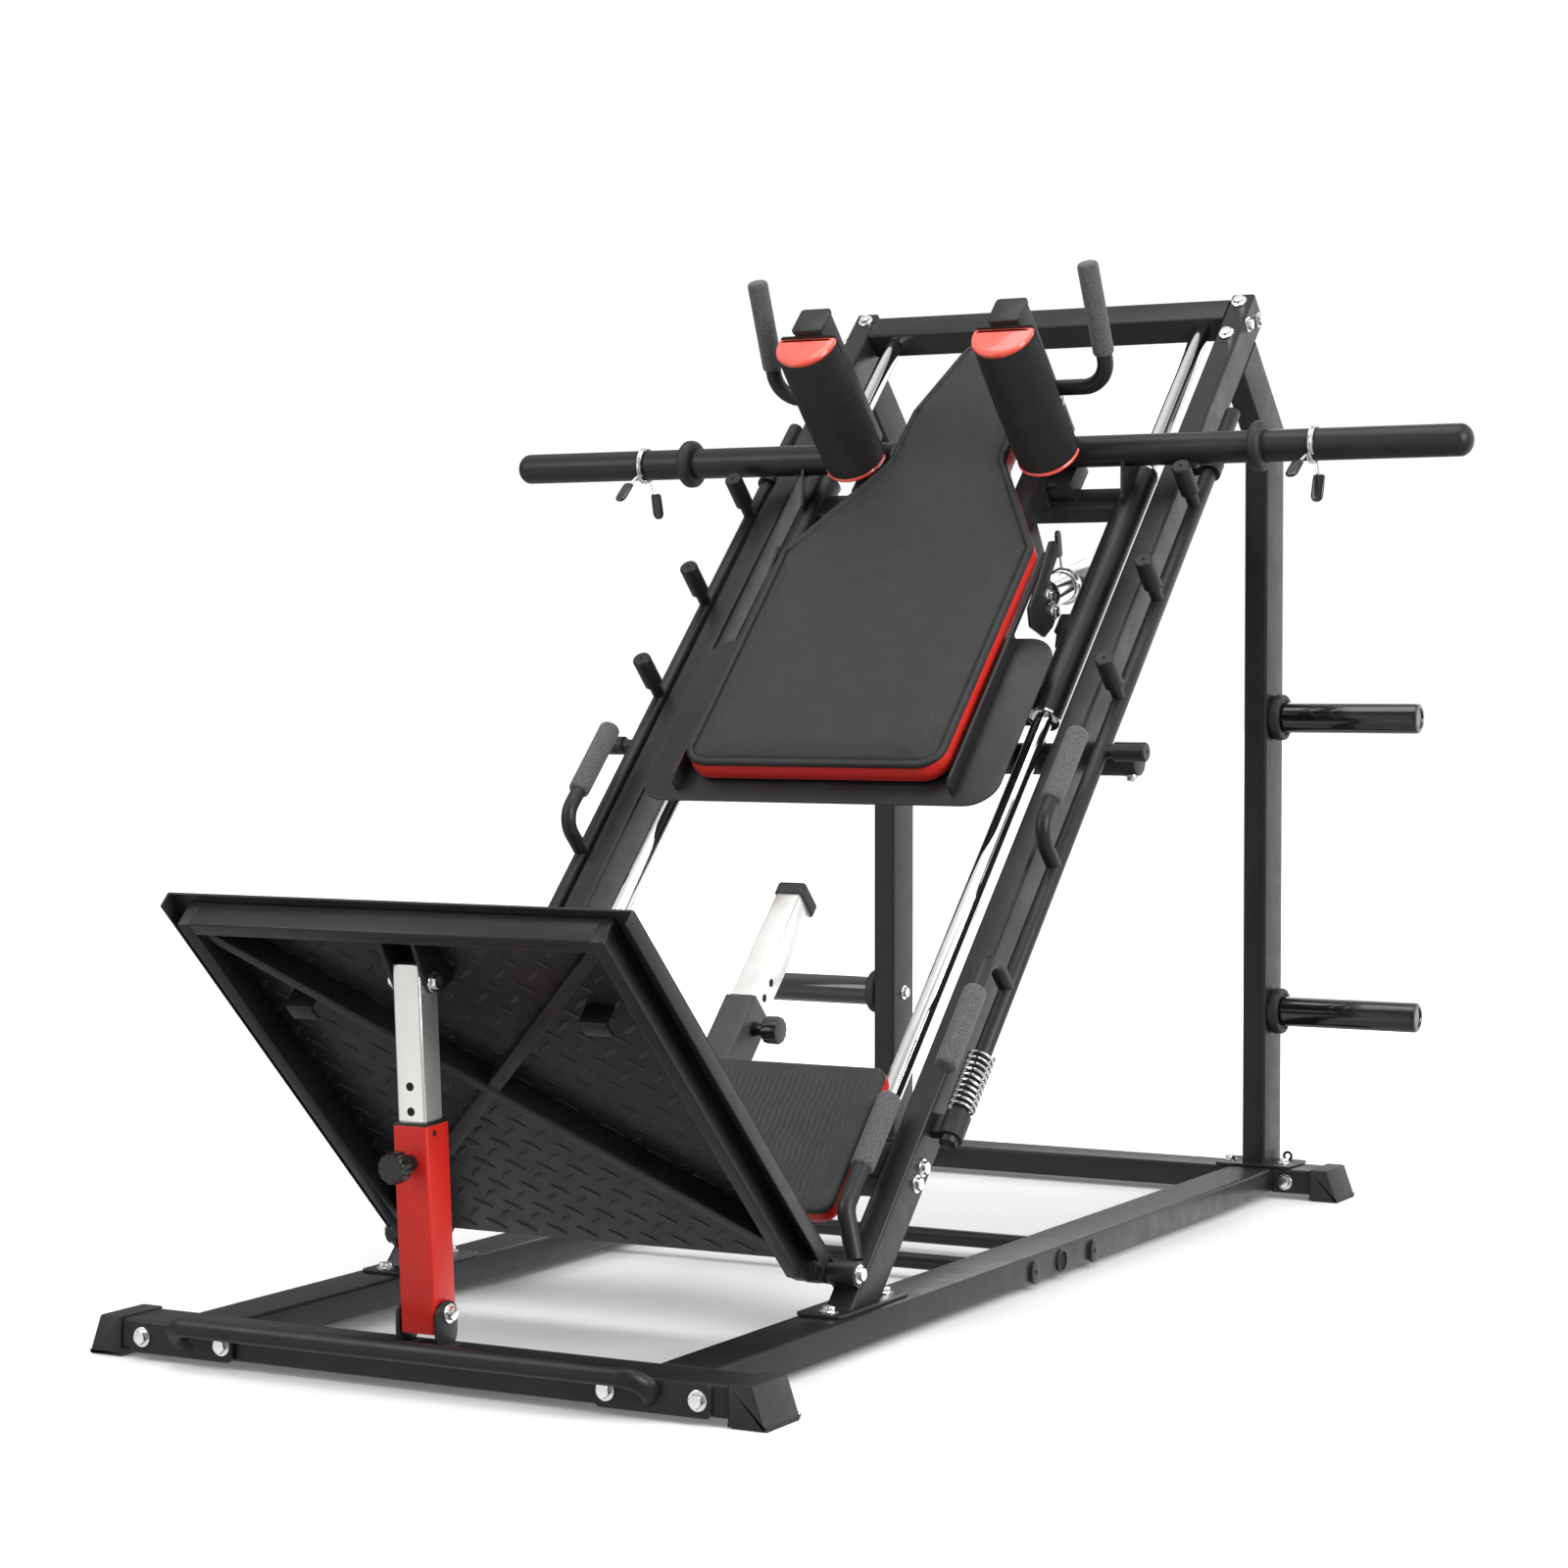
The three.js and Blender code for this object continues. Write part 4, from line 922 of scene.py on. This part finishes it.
def puffed(name, home, finish, outline, low, high, pinned_below, cap):
    """A cushion skin: a slab, remeshed, inflated as cloth on its pinned rim by at most cap, and smoothed."""
    space, body = home
    bm = bmesh.new()
    prism(bm, outline, "z", low, high, 5.0)
    bmesh.ops.triangulate(bm, faces=bm.faces)
    bmesh.ops.scale(bm, vec=(MM, MM, MM), verts=bm.verts)
    mesh = bpy.data.meshes.new(name)
    bm.to_mesh(mesh)
    bm.free()
    obj = bpy.data.objects.new(name, mesh)
    bpy.context.scene.collection.objects.link(obj)
    remesh = obj.modifiers.new("voxels", "REMESH")
    remesh.mode = "VOXEL"
    remesh.voxel_size = VOXEL
    bake(obj)
    flat = [v.co.copy() for v in obj.data.vertices]
    inflate(obj, pinned_below * MM)
    for vertex, start in zip(obj.data.vertices, flat):
        moved = vertex.co - start
        if moved.length > cap * MM:
            vertex.co = start + moved.normalized() * cap * MM
    smooth = obj.modifiers.new("soften", "SMOOTH")
    smooth.factor = 0.5
    smooth.iterations = 4
    finer = obj.modifiers.new("finer", "SUBSURF")
    finer.levels = 1
    bake(obj)
    obj.data.transform(space @ Matrix.Scale(1 / MM, 4))
    obj.data.shade_smooth()
    return seat(obj, body, finish)


def bake(obj):
    """Turns the modified shape into the object's own mesh."""
    bpy.context.view_layer.update()
    graph = bpy.context.evaluated_depsgraph_get()
    mesh = bpy.data.meshes.new_from_object(obj.evaluated_get(graph))
    obj.modifiers.clear()
    obj.data = mesh


def inflate(obj, pinned_below):
    group = obj.vertex_groups.new(name="pinned")
    group.add([v.index for v in obj.data.vertices if v.co.z < pinned_below], 1.0, "REPLACE")
    cloth = obj.modifiers.new("cloth", "CLOTH")
    settings = cloth.settings
    settings.quality = 5
    settings.mass = 0.3
    settings.tension_stiffness = 12
    settings.bending_stiffness = 0.6
    settings.use_pressure = True
    settings.uniform_pressure_force = 4.0
    settings.vertex_group_mass = "pinned"
    settings.effector_weights.gravity = 0.0
    cloth.collision_settings.use_collision = False
    scene = bpy.context.scene
    for step in range(1, CLOTH_FRAMES + 1):
        scene.frame_set(step)
    bake(obj)
    scene.frame_set(1)


def sleeve(bm):
    dome = [(702 + 20 * math.sin(a), 25 * math.cos(a)) for a in (math.radians(9 * k) for k in range(10))]
    profile = [(0.0, 22.0), (0.0, 24.0), (1.0, 25.0)] + dome + [(722.0, 2.0)]
    turned(bm, (120, SLEEVE_S, SLEEVE_N), (842, SLEEVE_S, SLEEVE_N), profile, 56)


def sleeve_collar(bm):
    profile = [(0.0, 25.2), (0.0, 33.0), (1.5, 36.5), (4.5, 38.8), (8.0, 39.3)]
    turned(bm, (493.8, SLEEVE_S, SLEEVE_N), (514.2, SLEEVE_S, SLEEVE_N), profile, 56, mirror=True)


def shoulder_post(bm):
    prism(bm, rectangle((145, 195), (1592, 1643), 5), "z", 73.3, 336, 1.0)
    prism(bm, rectangle((143.5, 196.5), (1590.5, 1644.5), 6), "z", 331, 339.5, 1.8)


def shoulder_handle(bm):
    bent_bar(bm, [(190, 1620, 177), (291, 1620, 177), (287, 1688, 352)], 42, 12.5, 32)


SHOULDER_GRIP = (Vector((289.9, 1638.4, 223.5)), Vector((286.9, 1692.1, 362.5)))


def roll_outline(shrink=0.0):
    flat, depth, half = 1588.5, 62.0, 50.0
    arc = []
    for k in range(25):
        turn = math.pi * k / 24
        arc.append((170 - half * math.cos(turn), flat - 10 - (depth - 10) * math.sin(turn), 0))
    points = [(120, flat, 6)] + arc + [(220, flat, 6)]
    return inset(rounded(points, 6, 5), shrink)


def roll_body(bm):
    """A padded roll: tucked in at both ends, slightly fuller in the middle."""
    low, high = 77.0, 321.0
    tucks = ((0.0, 5.0), (0.008, 2.0), (0.03, 0.4), (0.12, -0.4), (0.5, -1.4), (0.88, -0.4), (0.97, 0.4),
             (0.992, 2.0), (1.0, 5.0))  # share of the height, how far the skin is tucked in
    roll_part(bm, *((low + (high - low) * share, tuck) for share, tuck in tucks))


def roll_part(bm, *levels):
    """A part of a roll's height: levels hold (height, how far the outline shrinks)."""
    add_rings(bm, [[Vector((p.x, p.y, n)) for p in roll_outline(shrink)] for n, shrink in levels])


ROLL_CAP = ((317.0, 1.0), (322.0, -0.6), (325.2, 0.8), (326.9, 4.0), (327.5, 10.0))
ROLL_FOOT = ((73.5, 8.0), (74.2, 2.0), (76.0, 0.0), (79.0, -0.6), (81.5, 1.5))


def roll_backing(bm):
    outline = [Vector((p.y, p.x)) for p in rectangle((121, 219), (74.0, 329), 6)]
    prism(bm, outline, "y", 1588.9, 1591.6, 0.6)


def horn_point(t, h=0.0):
    along = HORN_BASE + HORN_ALONG * t
    up = Vector((-HORN_ALONG.y, HORN_ALONG.x)) * h
    return Vector((HORN_X, along.x + up.x, along.y + up.y))


HORN_SPLIT = HORN_CLIP + 6.0


def horn_near(bm):
    turned(bm, horn_point(0), horn_point(HORN_SPLIT), [(0.0, 23.5), (1.0, 25.0), (HORN_SPLIT, 25.0)], 56)


def horn_far(bm):
    length = HORN_LENGTH - HORN_SPLIT
    profile = [(0.0, 24.9), (length - 6, 24.9), (length - 2, 23.5), (length, 20.0)]
    turned(bm, horn_point(HORN_SPLIT), horn_point(HORN_LENGTH), profile, 56)


def hinge_bracket(bm):
    outline = [(1375, 79), (1389, 67), (1387, 46), (1332, 40), (1326, 10), (1318, -16), (1290, -20),
               (1256, -10), (1231, 37), (1246, 62), (1300, 66)]
    prism(bm, rounded(outline, 5, 3), "x", 234, 239, 0.8)


def guide_tab(bm):
    outline = rounded([(240, 1322), (264, 1322), (264, 1250), (252, 1250), (246, 1278), (240, 1284)], 2, 3)
    prism(bm, outline, "z", -28, -24, 0.8)


def build_carriage():
    piece("carriage_guides", CARRIAGE, BLACK, guide_tubes, "carriage_frame")
    piece("carriage_members", CARRIAGE, BLACK, carriage_members)
    piece("guide_bush_rings", CARRIAGE, CHROME, bush_rings)
    piece("back_support_plate", CARRIAGE, BLACK,
          made(prism, rectangle((-298, 298), (856, 1199), 48, 10), "z", 40.4, 44.4), "back_plate")
    strip = [(874, 44), (1188, 44), (1188, 62), (1360, 62), (1360, 72), (884, 72), (874, 64)]
    pair("back_side_strip", CARRIAGE, BLACK, made(prism, rounded(strip, 2.5, 3), "x", 228, 233, 0.8))
    piece("back_board", CARRIAGE, BOARD, made(prism, pad_outline(5), "z", 46.5, 53), "back_pad")
    piece("back_side_band", CARRIAGE, PAD_RED, made(prism, pad_outline(1.2), "z", 52, 80, 1.5, 1.8))
    piece("back_rolled_edge", CARRIAGE, PAD_EDGE, back_welt, angle=80)
    puffed("back_cushion", CARRIAGE, PAD_TOP, pad_outline(6.0), 78, 92.5, 84, 5.0)
    pair("weight_sleeve", CARRIAGE, BLACK, sleeve, "sleeve_bar_{}")
    pair("sleeve_collar", CARRIAGE, RUBBER, sleeve_collar)
    pair("shoulder_post_tube", CARRIAGE, BLACK, shoulder_post, "shoulder_post_{}")
    pair("shoulder_handle_tube", CARRIAGE, BLACK, shoulder_handle)
    pair("shoulder_handle_grip", CARRIAGE, FOAM, made(grip, *SHOULDER_GRIP), "shoulder_grip_{}")
    pair("shoulder_roll_cover", CARRIAGE, ROLL, roll_body, "shoulder_roll_{}")
    pair("shoulder_roll_cap", CARRIAGE, CORAL, made(roll_part, *ROLL_CAP))
    pair("shoulder_roll_foot", CARRIAGE, CORAL, made(roll_part, *ROLL_FOOT))
    pair("shoulder_roll_backing", CARRIAGE, ("frame_black", BOARD[1]), roll_backing)
    piece("rear_horn_sleeve", CARRIAGE, CHROME, horn_near, "carriage_horn")
    piece("rear_horn_tip", CARRIAGE, PEG, horn_far)
    pair("pad_hinge_bracket", CARRIAGE, BLACK, hinge_bracket)
    pair("pad_hinge_bolts", CARRIAGE, ZINC,
         bolts(((239, 1311, 25), (1, 0, 0)), ((239, 1306, -4), (1, 0, 0)), ((195, 1620, 150), (1, 0, 0))))
    pair("guide_tab", CARRIAGE, BLACK, guide_tab)


# ---- spring clips --------------------------------------------------------------------------------
def spring_clip(bm_wire, bm_grips, centre, axis, arms):
    """A coil of two turns, and flat grips on the wire's ends. Arms hold (shift, direction)."""
    centre = Vector(centre)
    axis = Vector(axis).normalized()
    radius = 28.6
    coil(bm_wire, centre - axis * 4.5, centre + axis * 4.5, arms[0][1], radius, 2, 40)
    for shift, out in arms:
        root = centre + out * (radius - 1) + axis * math.copysign(4.5, shift)
        tip = centre + out * 56 + axis * shift
        path, ways = bent_path([root, centre + out * 38 + axis * shift * 0.6, tip], 8, 5)
        sweep(bm_wire, path, ways, [WIRE_RADIUS] * len(path), 10)
        grip_paddle(bm_grips, tip - out * 7, centre + out * 92 + axis * shift, axis.cross(out))


def grip_paddle(bm, start, end, thin):
    along = (end - start).normalized()
    wide = along.cross(thin).normalized()
    length = (end - start).length
    levels = ((0.0, 0.6), (0.02, 0.85), (0.08, 0.96), (0.5, 1.0), (0.8, 1.0), (0.92, 0.84), (0.98, 0.55),
              (1.0, 0.3))  # share of the length, size

    def point(level, turn):
        share, size = level
        a, b = math.cos(turn), math.sin(turn)
        across = 9.8 * size * math.copysign(abs(a) ** 0.7, a)
        through = 3.4 * size ** 0.5 * math.copysign(abs(b) ** 0.8, b)
        return start + along * length * share + wide * across + thin * through

    shell(bm, levels, 24, point)


def build_clip(label, node, centre, axis, arms):
    """The wire and the grips of one clip are separate pieces, each kept from the same clip."""
    def part(wanted):
        def build(bm):
            spare = bmesh.new()
            spring_clip(*((bm, spare) if wanted == "wire" else (spare, bm)), centre, axis, arms)
            spare.free()
        return build

    home = (INCLINE, label)
    piece(f"{label}_wire", home, ZINC, part("wire"), node)
    piece(f"{label}_grips", home, GRIP_PLASTIC, part("grips"))


CLIP_SWINGS = {  # each arm's shift along the sleeve and swing from straight down
    "left": ((-12.0, -48.0), (12.0, 14.0)),
    "right": ((-12.0, -56.0), (12.0, -16.0)),
}


def build_clips():
    down = Vector((0, -1, -1)).normalized()
    for side, sign in SIDES:
        arms = []
        for shift, swing in CLIP_SWINGS[side]:
            arms.append((shift, Matrix.Rotation(math.radians(swing), 3, "X") @ down))
        centre = (sign * 593, SLEEVE_S, SLEEVE_N)
        build_clip(f"sleeve_clip_{side}", f"clip_{side}", centre, (1, 0, 0), arms)
    up = Vector((0, -HORN_ALONG.y, HORN_ALONG.x))
    aside = (Vector((-0.94, 0, 0)) + up * 0.34).normalized()
    build_clip("horn_clip", "clip_horn", horn_point(HORN_CLIP), (0, HORN_ALONG.x, HORN_ALONG.y),
               [(-8.0, up), (8.0, aside)])


# ---- safety rods ---------------------------------------------------------------------------------
PEG_PLACES = (1136.0, 1346.0, 1556.0)


def lock_rod(bm):
    bar(bm, (LOCK_X, 300, LOCK_N), (LOCK_X, 1780, LOCK_N), 12.5, 40, 1.5)
    bent_bar(bm, [(LOCK_X, 800, LOCK_N), (LOCK_X, 800, 55), (LOCK_X, 980, 55)], 32, 11.5)
    bent_bar(bm, [(LOCK_X, 572, LOCK_N), (LOCK_X, 572, 55), (LOCK_X, 385, 55)], 32, 11.5)
    turned(bm, (LOCK_X, 1660.5, LOCK_N), (LOCK_X, 1672, LOCK_N), [(0, 15), (0, 17), (9, 17), (10, 15)], 36)


def knurled(profile_start, length, radius):
    """A peg's profile: smooth neck, fine rings of knurling, rounded end with a small centre hole."""
    profile = [(0.0, radius - 4.5), (profile_start, radius - 4.5), (profile_start + 1.5, radius)]
    rings = int((length - profile_start - 8) / 1.6)
    for i in range(rings):
        height = profile_start + 3 + 1.6 * i
        profile.append((height, radius if i % 2 else radius - 0.45))
    end = [(3, radius), (1, radius - 0.8), (0, radius - 2.2), (0, 2.6), (5, 2.2)]
    return profile + [(length - back, size) for back, size in end]


def lock_pegs(bm):
    for s in PEG_PLACES:
        turned(bm, (LOCK_X, s, LOCK_N), (LOCK_X, s, 66), knurled(33.0, 66.0 - LOCK_N, 14.6), 48)
    turned(bm, (LOCK_X, 1031, LOCK_N), (468, 1031, LOCK_N), knurled(22.0, 468.0 - LOCK_X, 14.6), 48)


def build_safety():
    pair("safety_rod", SAFETY, BLACK, lock_rod, "lock_rod_{}")
    pair("safety_pegs", SAFETY, BLACK, lock_pegs)
    pair("safety_spring", SAFETY, ZINC, made(coil, (LOCK_X, 357, LOCK_N), (LOCK_X, 455, LOCK_N),
                                       Vector((1, 0, 0)), 17.8, 10, 32, -1), "lock_spring_{}")
    pair("safety_grip_high", SAFETY, FOAM,
         made(grip, (LOCK_X, 857, 55), (LOCK_X, 995, 55)), "lock_grip_upper_{}")
    pair("safety_grip_low", SAFETY, FOAM,
         made(grip, (LOCK_X, 369, 55), (LOCK_X, 507, 55)), "lock_grip_lower_{}")


# ---- footplate -----------------------------------------------------------------------------------
PLATE_HALF, PLATE_LOW, PLATE_HIGH, RIM = 340.5, 26.0, 727.0, 23.0
PLATE_ARM = (291, 311)  # the frame's side tubes and hinge arms
TREAD_X, TREAD_N = 24.0, 24.0  # half pitches of the tread marks


def plate_sheet(bm):
    prism(bm, rectangle((PLATE_LOW, PLATE_HIGH), (-PLATE_HALF, PLATE_HALF), 3), "y", -3, 0, 0.5)
    for side in (-1, 1):
        span = on_side(side, PLATE_HALF - 3, PLATE_HALF)
        prism(bm, rectangle((40, PLATE_HIGH), span, 1.2, 2), "y", -RIM, -0.5, 0.5)


def tread_marks(bm, face, way):
    """Raised pointed marks, turned one way and the other in alternate places."""
    rows = int((PLATE_HIGH - PLATE_LOW - 30) / TREAD_N)
    columns = int((2 * PLATE_HALF - 40) / TREAD_X)
    for row in range(rows):
        for column in range(row % 2, columns, 2):
            centre = Vector((-PLATE_HALF + 28 + TREAD_X * column, PLATE_LOW + 20 + TREAD_N * row))
            add_mark(bm, centre, math.radians(41 if row % 2 else -41), face, way)


def add_mark(bm, centre, turn, face, way):
    half_length, half_width = 17.5, 4.8
    spin = Matrix.Rotation(turn, 2)

    def point(level, angle):
        size, rise = level
        taper = 1 - 0.35 * abs(math.cos(angle))
        local = Vector((half_length * math.cos(angle), half_width * math.sin(angle) * taper)) * size
        p = centre + spin @ local
        return Vector((p.x, face + way * rise, p.y))

    shell(bm, ((1.0, -0.3), (0.9, 0.8), (0.6, 1.2)), 12, point)


def plate_frame(bm):
    deep, near = -41.3, -3.3
    prism(bm, rectangle((deep, near), (693, 715), 3), "x", -292, 292, 1.0)
    low, high = 85.0, 701.0
    run = math.hypot(600, high - low)
    for side in (-1, 1):
        tilt = Matrix.Rotation(-side * math.atan2(high - low, 600), 4, "Y")
        part = bmesh.new()
        prism(part, rectangle((deep + 8 + side, near), (-9, 9), 2), "x", -run / 2, run / 2, 1.0)
        part.transform(Matrix.Translation((0, 0, (low + high) / 2)) @ tilt)
        copy_into(bm, part)
        span = on_side(side, *PLATE_ARM)
        prism(bm, rectangle((40, 715), span, 3), "y", deep, near, 1.0)
        arm = [(-16, 0), (-14, -10), (0, -15), (14, -8), (15, 6), (-3.3, 26), (-3.3, 44), (-41, 44),
               (-30, 18)]
        prism(bm, rounded(arm, 3, 3), "x", span[0], span[1], 1.0)
        reach = on_side(side, PLATE_ARM[0], RAIL_IN - 1.5)
        bar(bm, (reach[0], 0, 0), (reach[1], 0, 0), 16, 40)


def copy_into(target, source):
    mesh = bpy.data.meshes.new("part")
    source.to_mesh(mesh)
    source.free()
    target.from_mesh(mesh)
    bpy.data.meshes.remove(mesh)


POST_LENGTH = 410.82
POST_TOP = PLATE.inverted() @ POST @ Vector((0, 0, POST_LENGTH))


def post_bracket(bm):
    for span in ((-27, -21.5), (21.5, 27)):
        outline = [(-3.3, 588), (-3.3, 694), (-30, 694), (-46, 650), (-50, 628), (-48, 612), (-36, 600)]
        prism(bm, rounded(outline, 5, 4), "x", span[0], span[1], 0.8)


def plate_hooks(bm):
    for x in (-218, 218):
        prism(bm, rectangle((x - 20, x + 20), (-34, -3), 3), "z", 545, 549, 0.6)
        prism(bm, rectangle((x - 20, x + 20), (-34, -30), 1.5), "z", 524, 548, 0.6)


def build_footplate():
    piece("footplate_tread_sheet", FOOTPLATE, TREAD, plate_sheet, "footplate_sheet")
    piece("footplate_tread_top", FOOTPLATE, TREAD, made(tread_marks, 0.0, 1))
    piece("footplate_tread_under", FOOTPLATE, TREAD, made(tread_marks, -3.0, -1))
    piece("footplate_tube_frame", FOOTPLATE, BLACK, plate_frame, "footplate_frame")
    piece("footplate_post_bracket", FOOTPLATE, BLACK, post_bracket)
    piece("footplate_hooks", FOOTPLATE, BLACK, plate_hooks)
    s, n = POST_TOP.y, POST_TOP.z
    piece("footplate_post_bolts", FOOTPLATE, ZINC,
          bolts(((27, s, n), (1, 0, 0)), ((-27, s, n), (-1, 0, 0))))


# ---- support post --------------------------------------------------------------------------------
POST_PIN, POST_PITCH = 190.0, 31.0


def build_post():
    piece("post_red_tube", POST_LOWER, RED,
          made(prism, rectangle((-25, 25), (-25, 25), 4), "z", -23, 235), "post_outer")
    piece("post_bushing", POST_LOWER, KNOB,
          made(prism, rectangle((-24.4, 24.4), (-24.4, 24.4), 4), "z", 234, 239.5))
    piece("post_red_tube_hole", POST_LOWER, ("red_paint", DARK_HOLE[1]),
          hole_marks([(25, -8, 225)], (1, 0, 0), 4.0))
    piece("post_chrome_tube", POST_UPPER, SATIN,
          made(prism, rectangle((-20, 20), (-20, 20), 3.5), "z", 90, POST_LENGTH + 22), "post_inner")
    holes = [(0, -20, POST_PIN + k * POST_PITCH) for k in (2, 3)]
    piece("post_tube_holes", POST_UPPER, ("satin_steel", DARK_HOLE[1]), hole_marks(holes, (0, -1, 0), 5.5))
    piece("post_pull_knob", POST_KNOB, KNOB,
          made(fluted_knob, (0, -25.3, POST_PIN), (0, -1, 0)), "post_knob")


# ---- studio --------------------------------------------------------------------------------------
SOFTBOXES = (  # direction, cosines where each starts and is full, strength
    ((0.46, 0.88, 0.05), 0.60, 0.95, 1.05),
    ((-0.45, -0.88, -0.05), 0.70, 0.95, 0.55),
    ((-0.42, -0.05, 0.90), 0.65, 0.95, 0.50),
    ((0.75, -0.10, 0.65), 0.75, 0.95, 0.8),
)
ROOM = ((-0.5, 0.32), (0.0, 0.20), (0.8, 0.36))  # height of the direction, strength


def studio_world():
    """White behind the object; for lighting and reflections a dim room with four soft boxes."""
    world = bpy.data.worlds.new("studio")
    world.use_nodes = True
    world.node_tree.nodes.clear()
    n = Nodes(world.node_tree)
    coords = n.add("ShaderNodeTexCoord").outputs["Generated"]
    split = n.add("ShaderNodeSeparateXYZ")
    n.link(coords, split.inputs[0])
    (below, dark), (level, floor), (above, high) = ROOM
    height = split.outputs["Z"]
    under = n.ramp(height, below, level, dark, 0.0)
    strength = n.maths("ADD", under, n.ramp(height, level, above, floor, high))
    for way, start, full, power in SOFTBOXES:
        dot = n.add("ShaderNodeVectorMath", operation="DOT_PRODUCT")
        n.link(coords, dot.inputs[0])
        dot.inputs[1].default_value = Vector(way).normalized()
        strength = n.maths("ADD", strength, n.ramp(dot.outputs["Value"], start, full, 0.0, power))
    mix = n.add("ShaderNodeMixShader")
    n.link(n.add("ShaderNodeLightPath").outputs["Is Camera Ray"], mix.inputs["Fac"])
    for slot in (1, 2):  # the room, then the backdrop that the camera sees
        background = n.add("ShaderNodeBackground", Color=(1.0, 1.0, 1.0, 1.0))
        if slot == 1:
            n.link(strength, background.inputs["Strength"])
        n.link(background.outputs[0], mix.inputs[slot])
    n.link(mix.outputs[0], n.add("ShaderNodeOutputWorld").inputs["Surface"])
    bpy.context.scene.world = world


def studio_floor():
    mesh = bpy.data.meshes.new("floor")
    size = 40.0
    corners = [(-size, -size, 0), (size, -size, 0), (size, size, 0), (-size, size, 0)]
    mesh.from_pydata(corners, [], [(0, 1, 2, 3)])
    floor = bpy.data.objects.new("floor", mesh)
    n = Coat("studio_floor")
    tone = n.mix(n.ramp(n.noise(3.0, 2.0), 0.3, 0.7), (0.86, 0.86, 0.86), (0.88, 0.88, 0.88))
    distance = n.add("ShaderNodeVectorMath", operation="LENGTH")
    n.link(n.coords, distance.inputs[0])
    # Painted shade: the floor glows white far off but barely within 0.8 m of the machine, so the floor round
    # and under it reads as shadowed.
    glow = n.ramp(distance.outputs["Value"], 0.8, 2.2, 0.02, 0.75)
    mesh.materials.append(n.finish(Base_Color=tone, Roughness=0.8, Specular_IOR_Level=0.0,
                                   Emission_Color=(1.0, 1.0, 1.0), Emission_Strength=glow))
    bpy.context.scene.collection.objects.link(floor)
    floor.visible_glossy = False
    floor.visible_diffuse = False
    floor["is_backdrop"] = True


def area_light(name, place, size, power):
    light = bpy.data.lights.new(name, "AREA")
    light.size = size
    light.energy = power
    obj = bpy.data.objects.new(name, light)
    obj.location = place
    aim = Vector((0.0, 0.0, 0.7)) - Vector(place)
    obj.rotation_euler = aim.to_track_quat("-Z", "Y").to_euler()
    bpy.context.scene.collection.objects.link(obj)


def studio_camera():
    lens = bpy.data.cameras.new("camera")
    lens.lens = 80.0
    lens.sensor_width = 36.0
    lens.clip_end = 90.0
    camera = bpy.data.objects.new("camera", lens)
    camera.location = (2.4143, (-3508.3 - ORIGIN_Y) * MM, 0.8843)
    camera.rotation_euler = (math.radians(90.0 - 1.912), 0.0, math.radians(28.362))
    bpy.context.scene.collection.objects.link(camera)
    bpy.context.scene.camera = camera


def build_studio():
    studio_floor()
    studio_world()
    area_light("right_key", (4.6, -1.4, 2.2), 3.0, 190)
    area_light("front_left", (-3.0, -3.6, 3.4), 2.6, 80)
    area_light("overhead", (0.2, -0.4, 4.8), 3.0, 70)
    area_light("back_rim", (-1.2, 4.6, 3.0), 2.6, 45)
    studio_camera()
    bpy.context.scene.view_settings.view_transform = "Standard"


build_base()
build_frame()
build_seat()
build_stop()
build_carriage()
build_clips()
build_safety()
build_footplate()
build_post()
build_studio()

import json
as_list = lambda bounds: [[float(value) for value in corner] for corner in bounds]
{"cad": as_list(cad_bounds), "visual": as_list(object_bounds())}
